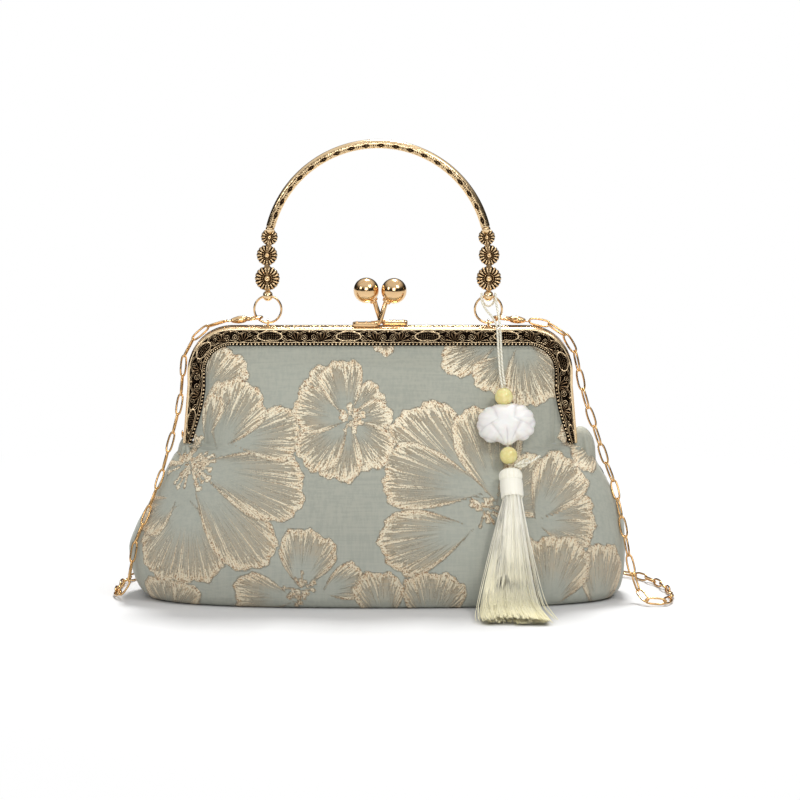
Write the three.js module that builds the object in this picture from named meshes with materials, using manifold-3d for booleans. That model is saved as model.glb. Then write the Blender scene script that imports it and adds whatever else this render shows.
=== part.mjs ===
// An evening clutch: a soft brocade bag on a kiss-lock frame, with a ring handle, a shoulder
// chain and a tassel charm. Millimetres, +Z up, -Y is the front, origin at the middle of the base.
import * as THREE from 'three';
import { mergeVertices } from 'three/addons/utils/BufferGeometryUtils.js';
import Module from 'manifold-3d';

const wasm = await Module();
wasm.setup();

// Driving dimensions of the cloth bag
const clothHeight = 130.3;
const leftReach = 124;
const rightReach = 121;
const baseHalfDepth = 43.5;
const clothWall = 2;
const mouthHalfDepth = 4.3;

// Driving dimensions of the frame
const frameTop = 133.5;
const frameHalfWidth = 94.6;
const legEndHeight = 76.5;
const legFlare = 2.4;
const legStraightFrom = 105;
const cornerRadius = 22;
const bandWidth = 9;
const legTipWidth = 4.2;
const frameHalfDepth = 6;
const frameWall = 1.2;
const halvesGap = 0.6;
const backWallWidth = 5;
const backWallShare = 0.8;
const rimChamfer = 0.8;
const beadingWidth = 1.6;
const beadingRise = 0.5;
const motifPitch = 19.3;
const motifLength = 12.4;
const motifWidth = 4.8;
const motifRise = 0.8;

// Driving dimensions of the pivot pins
const pinRadius = 1.1;
const pinHeadRadius = 2;
const pinHeadThick = 0.8;
const pinRise = 3.4;
const pinReach = 3;
const pinHeadGap = 0.45;

// Driving dimensions of the kiss-lock
const lockBallRadius = 6.25;
const lockBallHeight = 151.1;
const lockBallSpacing = 13.6;
const lockBallStep = 1;
const lockStemRadius = 1.2;
const lockFootLength = 13.5;
const lockFootWidth = 4.2;
const lockFootThick = 2.2;
const lockCollarRadius = 2.2;
const lockCollarHeight = 1.1;

// Driving dimensions of the rings and their ears
const ringRadius = 6.65;
const ringWireRadius = 0.55;
const ringDepth = 3;
const earHoleRadius = 0.95;
const earThick = 1.4;
const earWall = 1;
const earFoot = 0.4;

// Driving dimensions of the handle
const handleCentre = -1;
const handleHalfSpan = 54.2;
const handleRadius = 54.4;
const handleRodRadius = 2.25;
const rodEndAngle = 14.5;
const eyeBallRadius = 2.6;
const eyeHoleRadius = 1.3;
const neckRadius = 1.5;
const flowerRadius = 6.15;
const flowerHalfThick = 1.8;
const topFlowerRise = 29;
const rodEndAboveFlower = 5.07;
// The flowers at a handle's end from the lowest up: each one's rise as a share of the top one's,
// its step outwards and its radius as shares of the largest radius, and its share of the thickness.
const flowerTable = [
  { rise: 0.2966, shift: 0.033, out: 1, thick: 1, petals: 10 },
  { rise: 0.6931, shift: 0.049, out: 0.837, thick: 0.89, petals: 8 },
  { rise: 1, shift: -0.146, out: 0.675, thick: 0.83, petals: 7 },
];

// Driving dimensions of the chain and its clasps
const chainRadius = 1.9;
const chainSteps = 64;
const claspHookLength = 7.8;
const claspHookWidth = 5;
const claspWireRadius = 0.75;
const claspBodyLength = 8.4;
const claspBodyRadius = 2.1;
const claspDrop = 0.5865;
const claspSlack = 0.8;
const claspTilt = 6.5;

// Driving dimensions of the charm
const charmCordRadius = 0.55;
const charmCordSteps = 42;
const beadTopRadius = 4.45;
const beadBottomRadius = 4.35;
const charmHoleRadius = 1.3;
const lotusHalfWidth = 14.6;
const lotusHalfDepth = 6.6;
const lotusHalfHeight = 11.4;
const lotusPetals = 8;
const lotusWall = 1;
const bowRadius = 0.825;
const tasselHeadRadius = 5.75;
const tasselHeadLength = 14.6;
const tasselLockCount = 7;
const tasselLockSides = 5;

// Clearances
const gap = 0.3;
const overlap = 0.4;

const metalGold = { color: 0xc9a67a, roughness: 0.35, metalness: 1 };
const paleGold = { color: 0xe6c493, roughness: 0.15, metalness: 1 };
const brocade = { color: 0xa2aaa0, roughness: 0.8, metalness: 0 };
const silkCream = { color: 0xf0eed8, roughness: 0.7, metalness: 0 };
const jadeYellow = { color: 0xe1e096, roughness: 0.3, metalness: 0 };
const whiteResin = { color: 0xf0f0f3, roughness: 0.4, metalness: 0 };

const clutch = new THREE.Group();

function add(name, geometry, finish) {
  const mesh = new THREE.Mesh(geometry, new THREE.MeshStandardMaterial(finish));
  mesh.name = name;
  clutch.add(mesh);
}

function point(x, y, z) {
  return new THREE.Vector3(x, y, z);
}

// A closed mesh with only positions, its shared vertices merged.
function bare(geometry) {
  const plain = geometry.clone();
  plain.deleteAttribute('normal');
  plain.deleteAttribute('uv');
  return mergeVertices(plain, 1e-4);
}

function toSolid(geometry) {
  const merged = bare(geometry);
  return new wasm.Manifold(new wasm.Mesh({
    numProp: 3,
    vertProperties: new Float32Array(merged.attributes.position.array),
    triVerts: new Uint32Array(merged.index.array),
  }));
}

function toGeometry(solid) {
  const mesh = solid.getMesh();
  const geometry = new THREE.BufferGeometry();
  geometry.setAttribute('position', new THREE.BufferAttribute(mesh.vertProperties, 3));
  geometry.setIndex(new THREE.BufferAttribute(mesh.triVerts, 1));
  geometry.computeVertexNormals();
  return geometry;
}

function joined(geometries) {
  return toGeometry(geometries.map(toSolid).reduce((whole, piece) => whole.add(piece)));
}

function cut(geometry, cutters) {
  const pieces = cutters.map(toSolid);
  return toGeometry(pieces.reduce((whole, piece) => whole.subtract(piece), toSolid(geometry)));
}

// A mesh of the faces, turned inside out when they enclose a negative volume.
function meshOf(points, faces) {
  let volume = 0;
  for (let f = 0; f < faces.length; f += 3) {
    const [a, b, c] = faces.slice(f, f + 3).map((n) => points[n]);
    volume += a.dot(new THREE.Vector3().crossVectors(b, c));
  }
  const geometry = new THREE.BufferGeometry().setFromPoints(points);
  geometry.setIndex(volume > 0 ? faces : faces.reverse());
  geometry.computeVertexNormals();
  return geometry;
}

// A closed skin through equal rings of points, with a fan over the first and the last ring.
function skin(rings) {
  const count = rings[0].length;
  const points = rings.flat();
  const middles = [rings[0], rings[rings.length - 1]].map((ring) =>
    ring.reduce((sum, p) => sum.add(p), point(0, 0, 0)).divideScalar(count));
  points.push(...middles);
  const first = points.length - 2;
  const last = points.length - 1;
  const lastRing = (rings.length - 1) * count;
  const faces = [];
  for (let i = 0; i < count; i += 1) {
    const next = (i + 1) % count;
    for (let r = 0; r < lastRing; r += count) {
      faces.push(r + i, r + next, r + count + next, r + i, r + count + next, r + count + i);
    }
    faces.push(first, next, i, last, lastRing + i, lastRing + next);
  }
  return meshOf(points, faces);
}

// A closed skin through rings that come back to the first one.
function band(rings) {
  const count = rings[0].length;
  const faces = [];
  rings.forEach((_, r) => {
    const here = r * count;
    const there = ((r + 1) % rings.length) * count;
    for (let i = 0; i < count; i += 1) {
      const next = (i + 1) % count;
      faces.push(here + i, here + next, there + next, here + i, there + next, there + i);
    }
  });
  return meshOf(rings.flat(), faces);
}

function polygon(radius, sides) {
  const shape = new THREE.Shape();
  for (let i = 0; i < sides; i += 1) {
    const angle = (2 * Math.PI * i) / sides;
    const place = [radius * Math.cos(angle), radius * Math.sin(angle)];
    if (i === 0) shape.moveTo(...place);
    else shape.lineTo(...place);
  }
  shape.closePath();
  return shape;
}

function tube(points, radius, sides, steps) {
  const route = new THREE.CatmullRomCurve3(points, false, 'centripetal');
  return new THREE.ExtrudeGeometry(polygon(radius, sides), { steps, extrudePath: route });
}

function cylinderAlong(from, to, radius, sides) {
  const direction = new THREE.Vector3().subVectors(to, from);
  const geometry = new THREE.CylinderGeometry(radius, radius, direction.length(), sides);
  geometry.applyQuaternion(new THREE.Quaternion().setFromUnitVectors(
    point(0, 1, 0), direction.clone().normalize()));
  geometry.translate(...new THREE.Vector3().addVectors(from, to).divideScalar(2).toArray());
  return geometry;
}

function box(low, high) {
  const geometry = new THREE.BoxGeometry(high[0] - low[0], high[1] - low[1], high[2] - low[2]);
  geometry.translate(...low.map((value, i) => (value + high[i]) / 2));
  return geometry;
}

// The cloth bag. Each row is a level section: its height as a share of the cloth's height, its
// reach to the left and right as shares of the two reaches, its half-depth at the sides and in
// the middle as shares of the base's half-depth, and how square its corners are.
const sectionTable = [
  { rise: 0, left: 0.895, right: 0.925, side: 0.77, middle: 0.88, square: 3.2 },
  { rise: 0.0115, left: 0.925, right: 0.955, side: 0.84, middle: 0.945, square: 3.2 },
  { rise: 0.046, left: 0.963, right: 0.984, side: 0.897, middle: 0.99, square: 3 },
  { rise: 0.107, left: 0.988, right: 0.996, side: 0.897, middle: 1, square: 2.9 },
  { rise: 0.184, left: 1, right: 1, side: 0.874, middle: 0.977, square: 2.8 },
  { rise: 0.261, left: 0.974, right: 0.996, side: 0.828, middle: 0.943, square: 2.7 },
  { rise: 0.368, left: 0.912, right: 0.963, side: 0.736, middle: 0.874, square: 2.6 },
  { rise: 0.46, left: 0.862, right: 0.913, side: 0.598, middle: 0.782, square: 2.6 },
  { rise: 0.53, left: 0.822, right: 0.868, side: 0.42, middle: 0.69, square: 2.6 },
];
// Above the lobes the section runs up inside the frame: its side is the mouth's half-depth, its
// reach is taken in from the frame, and the middle keeps the row's share of the base's half-depth.
const panelTable = [
  { rise: 0.66, middle: 0.53 },
  { rise: 0.77, middle: 0.39 },
  { rise: 0.87, middle: 0.25 },
  { rise: 0.94, middle: 0.113 },
  { rise: 1, middle: 0 },
];
const panelSquare = 24;
const lobeDrop = 2.6;
const lobeLeftReach = 97;
const lobeRightReach = 101.5;
const lobeHalfDepth = 11;
const lobeMiddle = 0.64;
const lobeSquare = 2.8;
const panelInset = 3.4;
const bulgeClearance = 0.9;
const lowerBulge = 0.93;
const swellPower = 0.8;
const legEndInset = 0.8;
const legEndInsetRise = 12;

// The half-width at a height of a corner whose arc has this radius, as far up as the arc goes.
const arcCentre = frameTop - cornerRadius;
function arcReach(height, radius) {
  const up = Math.min(height - arcCentre, radius);
  return frameHalfWidth - cornerRadius + Math.sqrt(radius ** 2 - up ** 2);
}

// The frame's outer half-width at a height: the flared leg, the straight, then the corner's arc.
function frameReach(height) {
  if (height > arcCentre) return arcReach(height, cornerRadius);
  const share = Math.max((legStraightFrom - height) / (legStraightFrom - legEndHeight), 0);
  return frameHalfWidth + legFlare * share;
}

// How far in from the frame's outer edge the cloth's edge lies, square to the edge.
function panelReach(height) {
  if (height > arcCentre) return arcReach(height, cornerRadius - panelInset);
  const nearEnd = Math.max(1 - (height - legEndHeight) / legEndInsetRise, 0);
  return frameReach(height) - panelInset - legFlare * legEndInset * nearEnd;
}

// How far the bag may bulge sideways at a height: as far as the inner edge of the frame's face.
function bulgeReach(height) {
  if (height > arcCentre) return arcReach(height, cornerRadius - bandWidth - bulgeClearance);
  return Math.min(frameReach(height) - faceWidth(height), panelReach(height)) - bulgeClearance;
}

function panelSection(height, middle) {
  return {
    height,
    left: panelReach(height),
    right: panelReach(height),
    bulge: Math.min(bulgeReach(height) / panelReach(height), lowerBulge),
    side: mouthHalfDepth,
    middle: Math.max(middle, mouthHalfDepth),
    square: panelSquare,
  };
}

const bagSections = [
  ...sectionTable.map((row) => ({
    height: row.rise * clothHeight,
    left: row.left * leftReach,
    right: row.right * rightReach,
    bulge: lowerBulge,
    side: row.side * baseHalfDepth,
    middle: row.middle * baseHalfDepth,
    square: row.square,
  })),
  {
    height: legEndHeight - lobeDrop,
    left: lobeLeftReach,
    right: lobeRightReach,
    bulge: lowerBulge,
    side: lobeHalfDepth,
    middle: lobeMiddle * baseHalfDepth,
    square: lobeSquare,
  },
  panelSection(legEndHeight - gap, lobeMiddle * baseHalfDepth),
  ...panelTable.map((row) => panelSection(row.rise * clothHeight, row.middle * baseHalfDepth)),
];

// The hollow follows every second row up to the lobes, and the hollow's floor is taken in further.
const lobeHeight = legEndHeight - lobeDrop;
const floorInset = 1;

// One level ring of the bag, taken in by an inset: a squared ellipse whose depth grows from
// where the bulge ends to the middle. Shares run from the middle to the end of the bulge and
// from there to the edge.
const bulgeShares = [0.12, 0.36, 0.58, 0.77, 0.91, 1];
const hemShares = [0.7, 1];

function bagRing(section, inset) {
  const quarter = [
    ...bulgeShares.map((share) => share * section.bulge),
    ...hemShares.map((share) => section.bulge + share * (1 - section.bulge)),
  ];
  const across = [...quarter.map((share) => -share).reverse(), ...quarter];
  const place = (share, front) => {
    const reach = (share < 0 ? section.left : section.right) - inset;
    const swell = Math.max(1 - (share / section.bulge) ** 2, 0) ** swellPower;
    const depth = section.side - inset + (section.middle - section.side) * swell;
    const corner = (1 - Math.abs(share) ** section.square) ** (1 / section.square);
    return point(reach * share, front * depth * corner, section.height);
  };
  return [
    ...across.map((share) => place(share, -1)),
    ...across.slice(1, -1).reverse().map((share) => place(share, 1)),
  ];
}

function clothBody() {
  const outer = bagSections.map((section) => bagRing(section, 0));
  const hollowRows = bagSections.filter((section, i) => section.height > clothWall
    && (i % 2 === 1 || section.height > lobeHeight - 1));
  const inner = hollowRows.reverse().map((section) => bagRing(section, clothWall));
  const floorRow = { ...bagSections[1], height: clothWall };
  const shell = skin([...outer, ...inner, bagRing(floorRow, clothWall + floorInset)]);
  const slitHalfDepth = mouthHalfDepth - clothWall;
  const slits = [-1, 1].map((side) => {
    const near = side * (frameHalfWidth - cornerRadius - clothWall * 2);
    const far = side * (frameHalfWidth + cornerRadius);
    return box(
      [Math.min(near, far), -slitHalfDepth, legEndHeight],
      [Math.max(near, far), slitHalfDepth, frameTop],
    );
  });
  return cut(shell, slits);
}

add('cloth_body', clothBody(), brocade);

// The outer edge of the frame, from the left leg's end over the top to the right leg's end.
function frameEdge() {
  const edge = new THREE.Path();
  const legX = frameHalfWidth + legFlare;
  edge.moveTo(-legX, legEndHeight);
  edge.lineTo(-frameHalfWidth, legStraightFrom);
  edge.lineTo(-frameHalfWidth, arcCentre);
  edge.absarc(-(frameHalfWidth - cornerRadius), arcCentre, cornerRadius, Math.PI, Math.PI / 2, true);
  edge.lineTo(frameHalfWidth - cornerRadius, frameTop);
  edge.absarc(frameHalfWidth - cornerRadius, arcCentre, cornerRadius, Math.PI / 2, 0, true);
  edge.lineTo(frameHalfWidth, legStraightFrom);
  edge.lineTo(legX, legEndHeight);
  return edge;
}

// How wide the face is at a height: a taper up the leg, then the full band.
function faceWidth(height) {
  const share = Math.min((height - legEndHeight) / (legStraightFrom - legEndHeight), 1);
  return legTipWidth + (bandWidth - legTipWidth) * Math.sin((share * Math.PI) / 2);
}

// The stations of the sweep: places on the edge with the direction that points inwards there.
// The taper of each leg gets stations of its own, as shares of the leg from its end.
const taperShares = [0.12, 0.3, 0.6];
const cornerSteps = 3;

function frameStations() {
  const corners = frameEdge().getPoints(cornerSteps);
  const count = corners.length;
  const between = (a, b) => taperShares.map((share) => a.clone().lerp(b, share));
  const places = [
    corners[0],
    ...between(corners[0], corners[1]),
    ...corners.slice(1, -1),
    ...between(corners[count - 1], corners[count - 2]).reverse(),
    corners[count - 1],
  ].filter((p, i, all) => i === 0 || p.distanceTo(all[i - 1]) > 1e-6);
  return places.map((place, i) => {
    const before = places[Math.max(i - 1, 0)];
    const after = places[Math.min(i + 1, places.length - 1)];
    const into = new THREE.Vector2().subVectors(place, before);
    const out = new THREE.Vector2().subVectors(after, place);
    const first = (into.length() > 0 ? into : out).clone().normalize();
    const second = (out.length() > 0 ? out : into).clone().normalize();
    const inward = new THREE.Vector2(first.y + second.y, -(first.x + second.x)).normalize();
    const mitre = inward.dot(new THREE.Vector2(first.y, -first.x));
    return { place, inward: inward.divideScalar(mitre) };
  });
}

// The channel's section: pairs of how far in from the outer edge and how far from the middle.
function channelSection(width) {
  const near = halvesGap / 2;
  const face = frameHalfDepth;
  const backWidth = Math.min(backWallWidth, width * backWallShare);
  return [
    [0, near],
    [0, face - rimChamfer],
    [rimChamfer, face],
    [width - beadingWidth, face],
    [width - beadingWidth / 2, face + beadingRise],
    [width, face],
    [width, face - frameWall],
    [frameWall, face - frameWall],
    [frameWall, near + frameWall],
    [backWidth, near + frameWall],
    [backWidth, near],
  ];
}

// The rims of the relief's two motifs: along and across the band, as shares of half a motif.
const motifRims = {
  lens: [[-1, 0], [-0.5, 0.75], [0, 1], [0.5, 0.75], [1, 0], [0.5, -0.75], [0, -1], [-0.5, -0.75]],
  heart: [[0, -0.6], [-0.4, -1], [-0.7, -0.5], [-0.6, 0.3], [0, 1], [0.6, 0.3], [0.7, -0.5], [0.4, -1]],
};
const motifFootScale = 1.15;
const motifCrownScale = 0.7;
const motifMostScale = 1.2;

// A raised motif of the relief: a low dome on a rim of its kind.
function motif(kind, outward) {
  const level = (scale, rise) => motifRims[kind].map(([along, across]) =>
    point(along * scale * (motifLength / 2), outward * rise, across * scale * (motifWidth / 2)));
  return skin([level(motifFootScale, -overlap), level(motifCrownScale, motifRise)]);
}

function frameHalf(outward) {
  const rings = frameStations().map(({ place, inward }) =>
    channelSection(faceWidth(place.y)).map(([deep, out]) =>
      point(place.x + inward.x * deep, outward * out, place.y + inward.y * deep)));
  const edge = frameEdge();
  const total = edge.getLength();
  const count = 2 * Math.floor((total / motifPitch - 1) / 2) + 1;
  const motifs = [];
  for (let i = 0; i < count; i += 1) {
    const share = 0.5 + ((i - (count - 1) / 2) * motifPitch) / total;
    const place = edge.getPointAt(share);
    const along = edge.getTangentAt(share);
    const flat = faceWidth(place.y) - rimChamfer - beadingWidth;
    const deep = rimChamfer + flat / 2;
    const raised = motif(i % 2 === 0 ? 'lens' : 'heart', outward);
    raised.scale(1, 1, Math.min(flat / (motifWidth + 1), motifMostScale));
    raised.rotateY(-Math.atan2(along.y, along.x));
    raised.translate(place.x + along.y * deep, outward * frameHalfDepth, place.y - along.x * deep);
    motifs.push(raised);
  }
  return [skin(rings), ...motifs];
}

// The places of the two rings, whose lowest wire runs through the ears.
const ringBottom = frameTop + earHoleRadius + earFoot;
const ringCentre = ringBottom + ringRadius;
const pivotHeight = ringCentre + ringRadius;
const ringPlaces = { left: handleCentre - handleHalfSpan, right: handleCentre + handleHalfSpan };

// An ear stands on the rim of the back half: a plate with a round head and a hole along X.
function ear(x) {
  const headRadius = earHoleRadius + earWall;
  const post = box(
    [x - earThick / 2, ringDepth - headRadius, frameTop - frameWall + overlap],
    [x + earThick / 2, ringDepth + headRadius, ringBottom],
  );
  const across = (half, radius, sides) => cylinderAlong(
    point(x - half, ringDepth, ringBottom), point(x + half, ringDepth, ringBottom), radius, sides);
  return cut(joined([post, across(earThick / 2, headRadius, 12)]), [across(earThick, earHoleRadius, 10)]);
}

// Where a pin crosses the two rims, each rim has half of a round hole.
const pinHeight = legEndHeight + pinRise;
const pinHoleDepth = 4;
const pinHoleProud = 2;
function pinHole(side) {
  const from = point(side * (frameReach(pinHeight) - pinHoleDepth), 0, pinHeight);
  const to = point(side * (frameReach(pinHeight) + pinHoleProud), 0, pinHeight);
  return cylinderAlong(from, to, pinRadius + gap, 10);
}

const pinHoles = [pinHole(-1), pinHole(1)];
add('frame_front', cut(joined(frameHalf(-1)), pinHoles), metalGold);
add('frame_back', cut(joined([
  ...frameHalf(1), ear(ringPlaces.left), ear(ringPlaces.right),
]), pinHoles), metalGold);

// A pin has a flat head outside the rims and a plain shank through them.
function pivotPin(side) {
  const face = frameReach(pinHeight) + pinHeadGap;
  const along = (distance) => point(side * (face + distance), 0, pinHeight);
  const shank = cylinderAlong(along(-pinReach), along(overlap), pinRadius, 10);
  const head = cylinderAlong(along(0), along(pinHeadThick), pinHeadRadius, 10);
  return joined([shank, head]);
}

add('pivot_pin_left', pivotPin(-1), paleGold);
add('pivot_pin_right', pivotPin(1), paleGold);

// One half of the kiss-lock: a foot on the rim, a stem that bends up across the middle, a collar
// and a ball. The front half's ball stands on the right, the back half's on the left.
// The stem's line leaves the foot and bends to the ball's side: shares of the ball's place across,
// of the foot's depth and of the way up from the foot to the collar. The collar sits on the ball's
// lower inner side, in the direction given by shares of the ball's place, depth and radius.
const lockStemTable = [
  { across: 0.08, deep: 0.98, rise: 0.3 },
  { across: 0.3, deep: 0.85, rise: 0.75 },
];
const collarStep = { across: 0.56, deep: 0.45, drop: 0.86 };
const lockStemFrom = 3.2;
const lockStemBend = 0.6;
const lockFootFrom = 1;

function kissLock(side) {
  const depth = side * (halvesGap / 2 + (frameHalfDepth - halvesGap / 2) / 2);
  const footBottom = frameTop + gap;
  const footTop = footBottom + lockFootThick;
  const ballX = (-side * lockBallSpacing) / 2;
  const ballY = side * lockBallStep;
  const footX = [side * lockFootFrom, side * lockFootLength].sort((a, b) => a - b);
  const foot = box(
    [footX[0], depth - lockFootWidth / 2, footBottom],
    [footX[1], depth + lockFootWidth / 2, footTop],
  );
  const ballCentre = point(ballX, ballY, lockBallHeight);
  const collarWay = point(
    -ballX * collarStep.across,
    (depth - ballY) * collarStep.deep,
    -lockBallRadius * collarStep.drop,
  ).normalize();
  const collarTop = ballCentre.clone().addScaledVector(collarWay, lockBallRadius - overlap);
  const stemEnd = collarTop.clone().addScaledVector(collarWay, lockCollarHeight);
  const stem = tube([
    point(side * lockStemFrom, depth, footTop - lockStemRadius * 0.75),
    point(side * lockStemBend, depth, footTop - lockStemRadius * 0.4),
    ...lockStemTable.map((row) => point(
      ballX * row.across, depth * row.deep, footTop + (stemEnd.z - footTop) * row.rise)),
    stemEnd,
    collarTop,
  ], lockStemRadius, 7, 8);
  const collar = cylinderAlong(stemEnd, collarTop, lockCollarRadius, 10);
  const ball = new THREE.SphereGeometry(lockBallRadius, 13, 8);
  ball.rotateX(Math.PI / 2);
  ball.translate(...ballCentre.toArray());
  return joined([foot, stem, collar, ball]);
}

add('clasp_front', kissLock(-1), paleGold);
add('clasp_back', kissLock(1), paleGold);

function ring(x) {
  const geometry = new THREE.TorusGeometry(ringRadius, ringWireRadius, 6, 18);
  geometry.rotateX(Math.PI / 2);
  geometry.translate(x, ringDepth, ringCentre);
  return geometry;
}

add('ring_left', ring(ringPlaces.left), paleGold);
add('ring_right', ring(ringPlaces.right), paleGold);

// The handle's rod is an arc that ends above the top flowers, a little above the arc's middle.
const rodEndTurn = (rodEndAngle * Math.PI) / 180;
const rodEndHeight = pivotHeight + topFlowerRise + rodEndAboveFlower;
const handleArcHeight = rodEndHeight - handleRadius * Math.sin(rodEndTurn);
function handleArch() {
  const points = [];
  const steps = 26;
  for (let i = 0; i <= steps; i += 1) {
    const angle = rodEndTurn + ((Math.PI - 2 * rodEndTurn) * i) / steps;
    points.push(point(
      handleCentre + handleRadius * Math.cos(angle),
      ringDepth,
      handleArcHeight + handleRadius * Math.sin(angle),
    ));
  }
  return tube(points, handleRodRadius, 8, steps);
}

// A flower medallion: a round disc with a raised button and petals parted by grooves on its
// face, and a flat back. Rows run from the middle of the face to the edge.
const petalTable = [
  { out: 0.3, thick: 1.15, groove: 0 },
  { out: 0.42, thick: 0.62, groove: 0 },
  { out: 0.72, thick: 1, groove: 0.32 },
  { out: 0.98, thick: 0.4, groove: 0.3 },
];
const grooveNotch = 0.16;

function flower({ out, thick, petals }) {
  const sides = petals * 2;
  const radius = flowerRadius * out;
  const halfThick = flowerHalfThick * thick;
  const face = (row, outward) => {
    const ringPoints = [];
    for (let i = 0; i < sides; i += 1) {
      const angle = (2 * Math.PI * i) / sides;
      const sunk = i % 2 === 0 ? 0 : row.groove;
      const reach = radius * row.out * (1 - sunk * grooveNotch);
      const depth = halfThick * row.thick * (1 - sunk);
      ringPoints.push(point(reach * Math.cos(angle), outward * depth, reach * Math.sin(angle)));
    }
    return ringPoints;
  };
  const edge = petalTable[petalTable.length - 1];
  return skin([...petalTable.map((row) => face(row, -1)), face(edge, 1)]);
}

function handleEnd(side) {
  const x = handleCentre + side * handleHalfSpan;
  const rodEnd = point(
    handleCentre + side * handleRadius * Math.cos(rodEndTurn), ringDepth, rodEndHeight);
  const rodDown = point(side * Math.sin(rodEndTurn), 0, -Math.cos(rodEndTurn));
  const centres = flowerTable.map((row) =>
    point(x + side * flowerRadius * row.shift, ringDepth, pivotHeight + topFlowerRise * row.rise));
  const flowers = flowerTable.map((row, i) => {
    const disc = flower(row);
    disc.translate(...centres[i].toArray());
    return disc;
  });
  const eyeTop = point(x, ringDepth, pivotHeight + eyeHoleRadius + neckRadius * 0.5);
  const stops = [eyeTop, ...centres];
  const necks = centres.map((centre, i) => cylinderAlong(stops[i], centre, neckRadius, 5));
  const collar = cylinderAlong(
    rodEnd.clone().addScaledVector(rodDown, gap),
    rodEnd.clone().addScaledVector(rodDown, gap + handleRodRadius),
    handleRodRadius * 0.9,
    8,
  );
  const eye = new THREE.SphereGeometry(eyeBallRadius, 8, 6);
  eye.translate(x, ringDepth, pivotHeight);
  const hole = cylinderAlong(
    point(x - eyeBallRadius * 2, ringDepth, pivotHeight),
    point(x + eyeBallRadius * 2, ringDepth, pivotHeight),
    eyeHoleRadius,
    8,
  );
  return cut(joined([...flowers, ...necks, collar, eye]), [hole]);
}

add('handle_arch', handleArch(), metalGold);
add('handle_end_left', handleEnd(-1), metalGold);
add('handle_end_right', handleEnd(1), metalGold);

// The oval hook of a clasp: a closed ring of round wire that lies level.
const hookSteps = 12;
const hookSides = 6;
function claspHook() {
  const rings = [];
  for (let i = 0; i < hookSteps; i += 1) {
    const angle = (2 * Math.PI * i) / hookSteps;
    const centre = point(
      (claspHookLength / 2) * (1 + Math.cos(angle)), (claspHookWidth / 2) * Math.sin(angle), 0);
    const section = [];
    for (let n = 0; n < hookSides; n += 1) {
      const turn = (2 * Math.PI * n) / hookSides;
      const out = claspWireRadius * Math.cos(turn);
      section.push(centre.clone().add(
        point(out * Math.cos(angle), out * Math.sin(angle), claspWireRadius * Math.sin(turn))));
    }
    rings.push(section);
  }
  return band(rings);
}

// The profile of the clasp's body: how far out and how far along, as shares.
const claspProfile = [[0, 0], [0.62, 0.03], [0.95, 0.25], [1, 0.5], [0.7, 0.8], [0.45, 1], [0, 1]];

// A lobster clasp lies on the frame's shoulder: its hook goes round the ring's side and its fat
// body points to the chain. The clasp on the left points its hook to the right. It hooks the wire
// below the ring's middle, by the drop's share of the ring's radius.
const claspHeight = ringCentre - ringRadius * claspDrop;
const ringWireOffset = ringRadius * Math.sqrt(1 - claspDrop ** 2);
function chainClasp(side) {
  const body = new THREE.LatheGeometry(claspProfile.map(([out, along]) =>
    new THREE.Vector2(out * claspBodyRadius, along * claspBodyLength)), 10);
  body.rotateZ(-Math.PI / 2);
  body.translate(claspHookLength - claspWireRadius, 0, 0);
  const clasp = joined([claspHook(), body]);
  clasp.rotateY((claspTilt * Math.PI) / 180);
  if (side < 0) clasp.rotateZ(Math.PI);
  const hookTip = ringWireOffset - ringWireRadius - gap - claspWireRadius - claspSlack;
  clasp.translate(ringPlaces[side < 0 ? 'left' : 'right'] + side * hookTip, ringDepth, claspHeight);
  return clasp;
}

add('chain_clasp_left', chainClasp(-1), paleGold);
add('chain_clasp_right', chainClasp(1), paleGold);

// The chain's route, from the left clasp over the shoulder, down the bag's side to the floor,
// plainly round the back, and up the right side to the right clasp.
const chainRoute = [
  [-75.2, 3, 135.9], [-80.4, 2.6, 134.8], [-87, 1.8, 131.9], [-92.4, 0.6, 126.4], [-96.2, -0.6, 119.2],
  [-97.2, -2, 108], [-98.4, -4, 96], [-101, -6, 84.5], [-104.2, -7.6, 73], [-107.4, -8.4, 61.5],
  [-112, -12, 49], [-116.4, -15.4, 38], [-120.5, -17.4, 27.5], [-122.2, -18.4, 17], [-124, -18.6, 8],
  [-128.4, -15, 2.7], [-130.6, -5, 2.2], [-129.6, 10, 2.2], [-127.5, 26, 2.2], [-120, 42, 2.2],
  [-106, 49, 2.2], [-80, 51, 2.2], [-40, 50.5, 2.2], [0, 51.5, 2.2], [40, 50.5, 2.2], [80, 51, 2.2],
  [106, 52, 2.2], [120, 48.4, 2.2], [131, 36, 2.2], [138.5, 18, 2.2], [142.5, -2, 2.2],
  [142.8, -22, 2.2], [138, -34, 2.2], [130.4, -33.6, 2.7], [126, -24.6, 7.4], [122.8, -17.4, 18],
  [120.4, -14.6, 31], [117.7, -11.4, 44], [114.7, -4.6, 57.4], [110.4, -3.4, 68.5], [106.8, -2.6, 80],
  [102.6, -1.6, 92], [99.2, -0.6, 104], [97.2, 0.6, 114], [94.6, 1.6, 123.9], [88.7, 2.4, 131],
  [80.8, 2.8, 135], [73.2, 3, 135.9],
].map((place) => point(...place));

add('chain', tube(chainRoute, chainRadius, 8, chainSteps), paleGold);

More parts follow.
